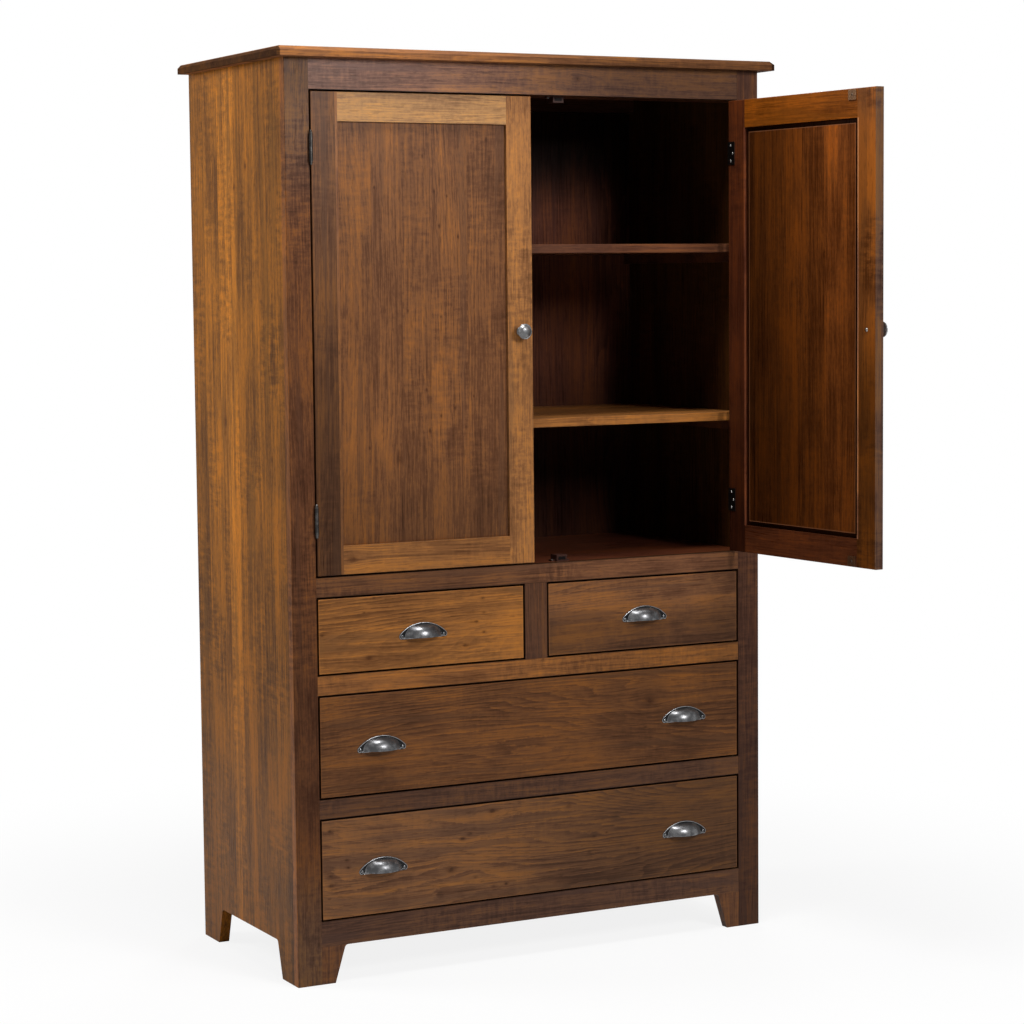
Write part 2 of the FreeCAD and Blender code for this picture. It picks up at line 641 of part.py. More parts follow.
def left_door():
    """The pieces of the left door, shut, by name."""
    sight_left = LEAF_LEFT + DOOR_STILE_WIDTH
    sight_right = LEAF_RIGHT - DOOR_STILE_WIDTH
    sight_bottom = LEAF_BOTTOM + DOOR_RAIL_HEIGHT
    sight_top = LEAF_TOP - DOOR_RAIL_HEIGHT
    panel_left = sight_left - PANEL_GROOVE
    panel_right = sight_right + PANEL_GROOVE
    panel_bottom = sight_bottom - PANEL_GROOVE
    panel_top = sight_top + PANEL_GROOVE
    panel_front = (FRONT + DOOR_BACK - PANEL_TONGUE) / 2
    groove_y = (panel_front - PANEL_SIDE_CLEARANCE, panel_front + PANEL_TONGUE + PANEL_SIDE_CLEARANCE)
    stile_groove = box(panel_left, panel_right, *groove_y, LEAF_BOTTOM, LEAF_TOP)
    rail_groove = box(panel_left, panel_right, *groove_y, panel_bottom, panel_top)

    knob_x = LEAF_RIGHT - DOOR_STILE_WIDTH / 2
    knob_z = (LEAF_BOTTOM + LEAF_TOP) / 2

    def door_rail_board(z0, z1):
        tongue = box(panel_left + TONGUE_RELIEF, panel_right - TONGUE_RELIEF, *groove_y, z0, z1)
        board = grooved(sight_left, sight_right, z0, z1, rail_groove)
        return board.fuse(tongue.cut(rail_groove)).removeSplitter()

    panel = box(
        panel_left + PANEL_FLOAT, panel_right - PANEL_FLOAT, panel_front, panel_front + PANEL_TONGUE,
        panel_bottom + PANEL_FLOAT, panel_top - PANEL_FLOAT,
    )
    field = box(
        sight_left + PANEL_RABBET, sight_right - PANEL_RABBET, panel_front, panel_front + DOOR_PANEL_THICKNESS,
        sight_bottom + PANEL_RABBET, sight_top - PANEL_RABBET,
    )
    return {
        "hinge_stile": [grooved(LEAF_LEFT, sight_left, LEAF_BOTTOM, LEAF_TOP, stile_groove)],
        "meeting_stile": [grooved(sight_right, LEAF_RIGHT, LEAF_BOTTOM, LEAF_TOP, stile_groove)],
        "top_rail": [door_rail_board(sight_top, LEAF_TOP)],
        "bottom_rail": [door_rail_board(LEAF_BOTTOM, sight_bottom)],
        "panel": [panel.fuse(field).removeSplitter()],
        "knob": [knob(knob_x, knob_z)],
        "strikes": [strike(LEAF_BOTTOM + STRIKE_MARGIN), strike(LEAF_TOP - STRIKE_MARGIN - STRIKE_HEIGHT)],
        "hinge_leaves": [hinge_leaves(middle)[1] for middle in HINGE_HEIGHTS],
    }


def make_doors():
    for name, solids in left_door().items():
        save(f"left_door_{name}", *solids)
        opened = [mirrored(solid) for solid in solids]
        for solid in opened:
            solid.rotate(Vector(-HINGE_X, HINGE_Y, 0), UP, DOOR_REST_ANGLE)
        save(f"right_door_{name}", *opened)
    frame_leaves = [hinge_leaves(middle)[0] for middle in HINGE_HEIGHTS]
    save("frame_hinge_leaves", *frame_leaves, *[mirrored(leaf) for leaf in frame_leaves])
    pins = [hinge_pin(middle) for middle in HINGE_HEIGHTS]
    save("hinge_pins", *pins, *[mirrored(pin) for pin in pins])


os.makedirs("parts", exist_ok=True)
make_case()
make_runners()
make_drawers()
make_catches()
make_doors()
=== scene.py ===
"""Looks of a TV armoire: stained maple case and doors, four drawers, pewter cup pulls and knobs."""
import math

import bmesh
import bpy
from mathutils import Matrix, Vector


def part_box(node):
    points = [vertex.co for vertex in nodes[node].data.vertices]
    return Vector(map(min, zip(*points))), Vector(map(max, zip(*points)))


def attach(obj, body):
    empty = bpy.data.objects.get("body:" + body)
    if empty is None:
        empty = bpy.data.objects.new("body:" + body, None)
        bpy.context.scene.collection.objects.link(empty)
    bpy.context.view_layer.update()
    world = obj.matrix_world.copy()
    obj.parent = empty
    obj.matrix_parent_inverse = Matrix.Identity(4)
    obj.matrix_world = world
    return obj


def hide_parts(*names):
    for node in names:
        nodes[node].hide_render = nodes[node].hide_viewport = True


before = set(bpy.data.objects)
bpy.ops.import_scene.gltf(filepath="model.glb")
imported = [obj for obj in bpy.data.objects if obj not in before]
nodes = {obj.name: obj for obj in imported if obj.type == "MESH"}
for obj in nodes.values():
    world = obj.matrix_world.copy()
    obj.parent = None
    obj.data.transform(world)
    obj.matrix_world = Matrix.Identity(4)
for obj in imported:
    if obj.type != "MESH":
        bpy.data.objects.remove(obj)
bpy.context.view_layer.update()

MM = 0.001
HINGE_X = 480.9
HINGE_Y = -254.0
FRONT_Y = -250.0
DOOR_BACK_Y = -230.0
OPEN_ANGLE = math.radians(94)
RIGHT_HINGE = Vector((HINGE_X, HINGE_Y, 0.0)) * MM


# Shader values

class Value:
    """A socket of a finish; arithmetic on it adds Math nodes."""

    def __init__(self, finish, socket):
        self.finish = finish
        self.socket = socket

    def __add__(self, other):
        return self.finish.math("ADD", self, other)

    __radd__ = __add__

    def __sub__(self, other):
        return self.finish.math("SUBTRACT", self, other)

    def __rsub__(self, other):
        return self.finish.math("SUBTRACT", other, self)

    def __mul__(self, other):
        return self.finish.math("MULTIPLY", self, other)

    __rmul__ = __mul__

    def __truediv__(self, other):
        return self.finish.math("DIVIDE", self, other)

    def __rtruediv__(self, other):
        return self.finish.math("DIVIDE", other, self)

    def __gt__(self, other):
        return self.finish.math("GREATER_THAN", self, other)

    def __lt__(self, other):
        return self.finish.math("LESS_THAN", self, other)


class Finish:
    """A procedural material, built node by node."""

    def __init__(self, name):
        self.material = bpy.data.materials.new(name)
        self.material.use_nodes = True
        self.tree = self.material.node_tree
        self.tree.nodes.clear()

    def node(self, kind, settings=None, sockets=None, output=0):
        """Adds a node: its settings first, then its sockets. With output None all outputs come back."""
        made = self.tree.nodes.new(kind)
        for key, value in (settings or {}).items():
            if key == "stops":
                self.set_stops(made.color_ramp, value)
            elif key == "steps":
                made.color_ramp.interpolation = value
            else:
                setattr(made, key, value)
        for key, value in (sockets or {}).items():
            if isinstance(value, Value):
                self.tree.links.new(value.socket, made.inputs[key])
            else:
                made.inputs[key].default_value = value
        if output is None:
            return [Value(self, socket) for socket in made.outputs]
        return Value(self, made.outputs[output])

    def set_stops(self, ramp, stops):
        while len(ramp.elements) > 1:
            ramp.elements.remove(ramp.elements[-1])
        ramp.elements[0].position = stops[0][0]
        ramp.elements[0].color = stops[0][1]
        for place, colour in stops[1:]:
            ramp.elements.new(place).color = colour

    def math(self, operation, *terms):
        return self.node("ShaderNodeMath", {"operation": operation}, dict(enumerate(terms)))

    def place(self):
        return self.node("ShaderNodeTexCoord", output=3)

    def noise(self, place, stretch, detail=2.0, roughness=0.5):
        """Noise between about 0 and 1, with so many waves to the metre along each axis."""
        stretched = self.node("ShaderNodeVectorMath", {"operation": "MULTIPLY"}, {0: place, 1: stretch})
        sockets = {"Vector": stretched, "Scale": 1.0, "Detail": detail, "Roughness": roughness}
        return self.node("ShaderNodeTexNoise", None, sockets)

    def change(self, value, start, first, end, last):
        """A soft change from first at start to last at end; start lies below end."""
        sockets = {0: value, 1: start, 2: end, 3: first, 4: last}
        return self.node("ShaderNodeMapRange", {"interpolation_type": "SMOOTHSTEP"}, sockets)

    def smooth(self, value, low, high):
        """0 below low, 1 above high and a soft step between; falling where low is above high."""
        if low > high:
            return self.change(value, high, 1.0, low, 0.0)
        return self.change(value, low, 0.0, high, 1.0)

    def bell(self, square, sharpness):
        """1 in the middle, falling off with the square of the distance from it."""
        return self.math("EXPONENT", square * -sharpness)

    def between(self, value, low, high):
        """1 from low to high, 0 elsewhere."""
        return self.math("COMPARE", value, (low + high) / 2, (high - low) / 2)

    def nearest(self, value, low, high):
        """How far a value is inside the nearer of two limits."""
        return self.math("MINIMUM", value - low, high - value)

    def mix(self, share, first, second, blend="MIX"):
        settings = {"data_type": "RGBA", "blend_type": blend, "clamp_factor": True}
        return self.node("ShaderNodeMix", settings, {0: share, 6: first, 7: second}, 2)

    def bump(self, height, strength, distance):
        sockets = {"Strength": strength, "Distance": distance, "Height": height}
        return self.node("ShaderNodeBump", None, sockets)

    def close(self, **sockets):
        """Ends the tree in one Principled shader; socket names are given with _ for a space."""
        named = {key.replace("_", " "): value for key, value in sockets.items()}
        shader = self.node("ShaderNodeBsdfPrincipled", None, named)
        self.node("ShaderNodeOutputMaterial", None, {"Surface": shader}, None)
        return self.material


def stain(red, green, blue):
    """A screen colour in 0 to 255 as the shader's linear colour."""
    def linear(level):
        level /= 255
        return level / 12.92 if level <= 0.04045 else ((level + 0.055) / 1.055) ** 2.4

    return linear(red), linear(green), linear(blue)


def tinted(colour, red, green, blue):
    """A colour with its three parts scaled, as a shader takes it."""
    return colour[0] * red, colour[1] * green, colour[2] * blue, 1.0


# Stained maple

# Which of X, Y and Z runs across the face that shows, through the board and along the grain.
GRAINS = {"upright": (0, 1, 2), "level": (2, 1, 0), "side": (1, 0, 2), "flat": (1, 2, 0)}

# Layers of figure: waves to the metre across and along the grain, octaves, their roughness, weight.
LAYERS = {
    "streaks": (48.0, 1.3, 3.0, 0.55, 0.75),
    "bands": (15.0, 1.1, 2.0, 0.5, 0.7),
    "lines": (200.0, 2.2, 2.0, 0.6, 0.7),
    "fibre": (400.0, 11.0, 2.0, 0.65, 0.75),
    "mottle": (170.0, 90.0, 3.0, 0.65, 0.25),
    "clouds": (9.0, 4.5, 4.0, 0.6, 0.9),
    "curls": (24.0, 95.0, 3.0, 0.65, 1.0),
}
# The first four of these numbers for what bends, limits or marks the figure.
WANDER = (5.0, 0.9, 2.0, 0.5)
CURL_AREAS = (6.0, 5.0, 1.0, 0.5)
RING_SWELLS = (6.0, 0.9, 2.0, 0.4)
RING_RIPPLES = (45.0, 7.0, 3.0, 0.6)
RING_AREAS = (7.0, 2.0, 1.0, 0.5)
MINERAL_STREAKS = (30.0, 1.4, 1.0, 0.5)
PORES = (270.0, 34.0, 2.0, 0.6)

WANDER_REACH = 0.04
RIPPLE_REACH = 0.006
RING_BREAKS = 0.3
LATE_WOOD_STARTS = (0.45, 0.9)
LATE_WOOD_ENDS = (1.0, 0.92)
EARLY_WOOD_ENDS = (0.4, 0.02)
EARLY_WOOD_WEIGHT = 0.7
MINERAL_WEIGHT = 0.5
PORE_WEIGHT = 0.36
# Levels of noise between which each of these sets in.
RINGS_SHOW = (0.3, 0.6)
CURLS_SHOW = (0.38, 0.6)
MINERAL_SHOWS = (0.61, 0.64)
PORES_SHOW = (0.58, 0.66)

FIBRE_ROUGHNESS = 0.16
CLOUD_ROUGHNESS = 0.08
FIBRE_HEIGHT = 0.7

# How the stain takes, from the darkest wood to the lightest.
DARK = (0.4, 0.38, 0.42)
STAIN_STEPS = ((0.12, DARK), (0.38, (0.74, 0.73, 0.8)), (0.5, (1.0, 1.0, 1.0)), (0.82, (1.65, 1.5, 0.95)))
MINERAL_GREY = (0.66, 0.72, 0.92)
KNOT_BROWN = (0.25, 0.2, 0.22)
# The tint of the painted shade at the very edge of a front.
EDGE_SHADE_TINT = (0.12, 0.1, 0.1)

# Boards of a panel: how far on the figure of each next one starts; joints and ends that take more stain, and painted
# shade on edges beside a gap and on the face inside the case.
BOARD_SHIFT = 0.377
BOARD_RUN = 9.0
LAST_BOARD = 0.2
JOINT = 0.0005
JOINT_WEIGHT = 0.4
GAP_SHADE = 0.2
GAP_SKIN = 0.0005
END_GRAIN = 0.26
END_SKIN = (0.0055, 0.0068)
INNER_SKIN = 0.001

# Knots: their length over their width, how far the grain bends round them, how dark they and their tails are.
KNOT_LENGTH = 1.7
KNOT_PULL = 0.1
KNOT_PUSH = 0.5
KNOT_CORE = 1.2
KNOT_WEIGHT = 0.75
KNOT_MOTTLE = 2.5
KNOT_DARKEST = 0.8
TAIL_LEAN = 0.02
TAIL_WIDTH = 0.8
TAIL_CORE = 1.3
TAIL_WEIGHT = 0.5

# Distances from the edge of a front between which a highlight is painted, and where painted shade lies.
EDGE_LIGHT_INNER = (0.0026, 0.0010)
EDGE_LIGHT_OUTER = (0.0003, 0.0010)
EDGE_SHADE_REACH = (0.0008, 0.0002)
EDGE_SHADE_WEIGHT = 0.9

# How far back the faces of a shut door reach that look into the room.
DOOR_OUTSIDE = -0.2425


class Board(Finish):
    """Stained maple with places across it, in its depth and along it; gain scales its brightness, for each board's
    tone and end grain, and for painted light and shade.
    """

    def __init__(self, name, grain, tone, seed, on_open_door):
        super().__init__(name)
        place = self.place()
        if on_open_door:
            turned_back = Matrix.Rotation(-OPEN_ANGLE, 3, "Z")
            shift = RIGHT_HINGE - turned_back @ RIGHT_HINGE
            sockets = {"Vector": place, "Location": shift, "Rotation": (0.0, 0.0, -OPEN_ANGLE)}
            place = self.node("ShaderNodeMapping", {"vector_type": "POINT"}, sockets)
        axes = self.node("ShaderNodeSeparateXYZ", None, {"Vector": place}, None)
        self.across, self.depth, self.along = [axes[axis] for axis in GRAINS[grain]]
        self.run = self.along + seed
        self.tone = tone
        self.gain = 1.0
        self.joints = 0.0

    def glue_up(self, boards):
        """Gives each board of a panel its own gain and a figure that starts elsewhere."""
        low = boards[0][0]
        span = boards[-1][0] + LAST_BOARD - low
        stops = []
        for index, (start, gain) in enumerate(boards):
            shift = (index * BOARD_SHIFT) % 1.0
            stops.append(((start - low) / span, (gain / 2, shift, 0.0, 1.0)))
        settings = {"stops": stops, "steps": "CONSTANT"}
        board = self.node("ShaderNodeValToRGB", settings, {"Fac": (self.across - low) / span})
        parts = self.node("ShaderNodeSeparateColor", None, {"Color": board}, None)
        self.gain = parts[0] * 2.0
        self.run = self.run + parts[1] * BOARD_RUN
        for start, _ in boards[1:]:
            self.joints = self.math("COMPARE", self.across, start, JOINT) + self.joints

    def fade(self, start, first, end, last, limit=None):
        """Paints light and shade, with some of the wood's own tone, as a change of the gain along the board, up to a
        depth where one is given.
        """
        change = self.change(self.along, start, first, end, last)
        if limit:
            change = 1.0 + (change - 1.0) * (self.depth < limit)
        self.gain = self.gain * change

    def darken(self, value, low, high, gain):
        """Takes the gain down to a share of itself where a value is below low."""
        self.gain = self.gain * (gain + self.smooth(value, low, high) * (1.0 - gain))

    def knot(self, swirl, shade, across, along, radius, tail):
        """Bends the grain round a knot and shades the knot and its tail."""
        aside = self.across - across
        beyond = self.along - along
        side = aside / radius
        length = beyond / (radius * KNOT_LENGTH)
        away = side * side + length * length
        swirl = swirl - aside * self.bell(away, KNOT_PULL) * KNOT_PUSH
        shade = self.bell(away, KNOT_CORE) + shade
        if tail:
            reach = (beyond - tail * 0.5) / (tail * 0.5)
            lean = (aside - beyond * TAIL_LEAN) / (radius * TAIL_WIDTH)
            shade = self.bell(lean * lean + reach * reach, TAIL_CORE) * TAIL_WEIGHT + shade
        return swirl, shade

    def figure(self, kind):
        """Noise that lies with the grain."""
        across, along, octaves, roughness = kind
        return self.noise(self.lie, (across, across, along), octaves, roughness)

    def lay(self, across):
        """Sets the lie of the grain, which all figure follows."""
        self.lie = self.node("ShaderNodeCombineXYZ", None, {0: across, 1: self.depth, 2: self.run})

    def growth_lines(self, bent, rings, breaks):
        """Light early wood and dark late wood where the board cuts the growth rings."""
        tilt, swell, spacing, weight = rings
        rise = bent * tilt + self.figure(RING_SWELLS) * swell + self.figure(RING_RIPPLES) * RIPPLE_REACH
        growth = self.math("FRACT", rise / spacing + breaks * RING_BREAKS)
        late = self.smooth(growth, *LATE_WOOD_STARTS) * self.smooth(growth, *LATE_WOOD_ENDS)
        early = self.smooth(growth, *EARLY_WOOD_ENDS) * EARLY_WOOD_WEIGHT
        return (early - late) * self.smooth(self.figure(RING_AREAS), *RINGS_SHOW) * weight

    def strip(self, colour, unfaded, start, end, low, high, near, tint):
        """Paints one edge of the board with its own tint, as for a painted highlight line."""
        within = self.between(self.across, start, end) * self.between(self.along, low, high)
        stained = self.node("ShaderNodeVectorMath", {"operation": "MULTIPLY"}, {0: unfaded, 1: tint})
        return self.mix(within * (self.depth > near), colour, stained)

    def paint_edge_light(self, colour, outline, weight, tint, behind):
        """Paints a highlight along the edges of a front, with painted shade beyond them."""
        sides = self.nearest(self.across, *outline[:2])
        ends = self.nearest(self.along, *outline[2:])
        inside = self.math("MINIMUM", sides, ends)
        # bare is a painted highlight along the edge; beyond it lies painted shade.
        bare = self.smooth(inside, *EDGE_LIGHT_INNER) * self.smooth(inside, *EDGE_LIGHT_OUTER) * weight
        edge_shade = self.smooth(inside, *EDGE_SHADE_REACH) * EDGE_SHADE_WEIGHT
        if behind:
            bare = bare * (self.depth > behind)
            edge_shade = edge_shade * (self.depth > behind)
        colour = self.mix(bare, colour, tinted(self.tone, *tint))
        return self.mix(edge_shade, colour, tinted(self.tone, *EDGE_SHADE_TINT))


def maple(name, grain, tone, boards=(), knots=(), rings=(0.5, 0.12, 0.004, 0.08), streak=0.8, cloud=1.0,
          curl=0.3, fleck=1.0, light_and_tone_fades=(), drift=None, ends=None, inner_shade=None, painted_sheens=(), outside=None, edge_light_strips=(),
          eased=None, edge_light=(0.4, (1.9, 1.8, 1.55)), behind=None, seed=0.0, on_open_door=False, gloss=0.1,
          roughness=0.3):
    """Stained maple. tone is its middle colour; boards are (start, gain) from one edge to the other, each board's
    own tone, save that a thin board of low gain at an edge beside a gap is painted shade;
    knots are (across, along, radius, tail), with a dark streak as long as the tail to one side;
    rings are (tilt, swell, spacing, weight) of the growth lines: how fast the board cuts across the rings
    from edge to edge, how far their swells bend the lines into loops, and how strong the lines are;
    streak, cloud, curl and fleck weigh the layers of figure;
    fades are (along, gain, along, gain) of painted light and shade, with some of the wood's own tone, that change
    over its length, up to a depth where one is given, and drift is the same over its width;
    ends are the two ends of a board whose end grain takes more stain;
    inner is (depth, gain) of painted shade on the face that looks into the case, on the near side of that depth;
    hazes are (clear, full, tint) of a painted sheen that changes the hue along the board;
    outside is the tint that lifts an open door's face towards the room out of the painted shade in its tone;
    strips are (start, end, low, high, depth, tint) of edges painted with their own tint, such as a painted
    highlight line along an arris, from start to end across the board, from low to high along it and from that
    depth on;
    eased is the outline (across, across, along, along) of a front with a painted highlight along its edges by
    worn, a (weight, tint), and painted shade beyond them, and behind is the depth from which on it shows, for a
    panel that has it on its back alone."""
    wood = Board(name, grain, tone, seed, on_open_door)
    if boards:
        wood.glue_up(boards)
    # Painted light and shade along and across the board, with some of the wood's own tone.
    for fade in light_and_tone_fades:
        wood.fade(*fade)
    if drift:
        wood.gain = wood.gain * wood.change(wood.across, *drift)
    if ends:
        wood.darken(wood.nearest(wood.along, *ends), *END_SKIN, END_GRAIN)
    # Painted shade on the face that looks into the case.
    if inner_shade:
        face, gain = inner_shade
        wood.darken(wood.depth, face, face + INNER_SKIN, gain)

    swirl = wood.across
    knot_shade = 0.0
    for knot in knots:
        swirl, knot_shade = wood.knot(swirl, knot_shade, *knot)
    wood.lay(swirl)
    bent = swirl + (wood.figure(WANDER) - 0.5) * WANDER_REACH
    wood.lay(bent)

    layers = {layer: wood.figure(kind[:4]) - 0.5 for layer, kind in LAYERS.items()}
    fibre, mottle, clouds = layers["fibre"], layers["mottle"], layers["clouds"]
    share = {"streaks": streak, "bands": streak, "lines": streak, "mottle": fleck, "clouds": cloud, "curls": curl}
    shade = 0.5 + wood.growth_lines(bent, rings, mottle)
    layers["curls"] = layers["curls"] * wood.smooth(wood.figure(CURL_AREAS), *CURLS_SHOW)
    for layer, (*_, weight) in LAYERS.items():
        shade = shade + layers[layer] * (weight * share.get(layer, 1.0))

    dark = tinted(tone, *DARK)
    stops = [(step, tinted(tone, *tint)) for step, tint in STAIN_STEPS]
    colour = wood.node("ShaderNodeValToRGB", {"stops": stops}, {"Fac": shade})
    mineral = wood.smooth(wood.figure(MINERAL_STREAKS), *MINERAL_SHOWS) * MINERAL_WEIGHT
    unfaded = wood.mix(mineral, colour, tinted(tone, *MINERAL_GREY))
    colour = wood.node("ShaderNodeVectorMath", {"operation": "SCALE"}, {0: unfaded, 3: wood.gain})
    # Painted sheen: a paler, greyer hue from clear to full along the board.
    for clear, full, tint in painted_sheens:
        colour = wood.mix(wood.smooth(wood.along, clear, full), colour, (*tint, 1.0), "MULTIPLY")
    # The open door's tone holds the painted shade of its inside; its face towards the room is lifted out of it.
    if outside:
        colour = wood.mix(wood.depth < DOOR_OUTSIDE, colour, (*outside, 1.0), "MULTIPLY")

    pores = wood.smooth(wood.figure(PORES), *PORES_SHOW)
    colour = wood.mix(pores * PORE_WEIGHT, colour, dark)
    if knots:
        knot_shade = wood.math("MINIMUM", knot_shade * (KNOT_WEIGHT + mottle * KNOT_MOTTLE), KNOT_DARKEST)
        colour = wood.mix(knot_shade, colour, tinted(tone, *KNOT_BROWN))
    if boards[1:]:
        colour = wood.mix(wood.joints * JOINT_WEIGHT, colour, dark)
    # Painted highlight lines along arrises, and other edges with their own tint.
    for strip in edge_light_strips:
        colour = wood.strip(colour, unfaded, *strip)
    # Painted highlight along the edges of a front, with painted shade beyond them.
    if eased:
        colour = wood.paint_edge_light(colour, eased, *edge_light, behind)

    return wood.close(
        Base_Color=colour,
        Roughness=roughness + fibre * FIBRE_ROUGHNESS + clouds * CLOUD_ROUGHNESS,
        Normal=wood.bump(fibre * FIBRE_HEIGHT - pores, strength=0.16, distance=0.0004),
        Specular_IOR_Level=gloss,
    )


def gap_shaded(low, high):
    """A board between two gaps: its edges there hold painted shade from the gaps, in a skin thinner than a saw cut.
    """
    return (low, GAP_SHADE), (low + GAP_SKIN, 1.0), (high - GAP_SKIN, GAP_SHADE)


def outline(node):
    """The across and along limits of a level-grained front, for its worn edge."""
    low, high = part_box(node)
    return low.z, high.z, low.x, high.x


TOP_ENDS = outline("top_board")[2:]
BACK_INSIDE = 0.247
DOOR_FIELD = (0.0666, 0.4142, 0.8716, 1.6733)
DOOR_SIGHT = (0.8626, 1.6823)
DOOR_SIGHT_DEPTH = -0.233
WHOLE_EDGE = (0.0, 2.0, -0.3)
SMALL_LEFT = "left_small_drawer_front"
SMALL_RIGHT = "right_small_drawer_front"
MIDDLE = "middle_drawer_front"
LOWER = "lower_drawer_front"
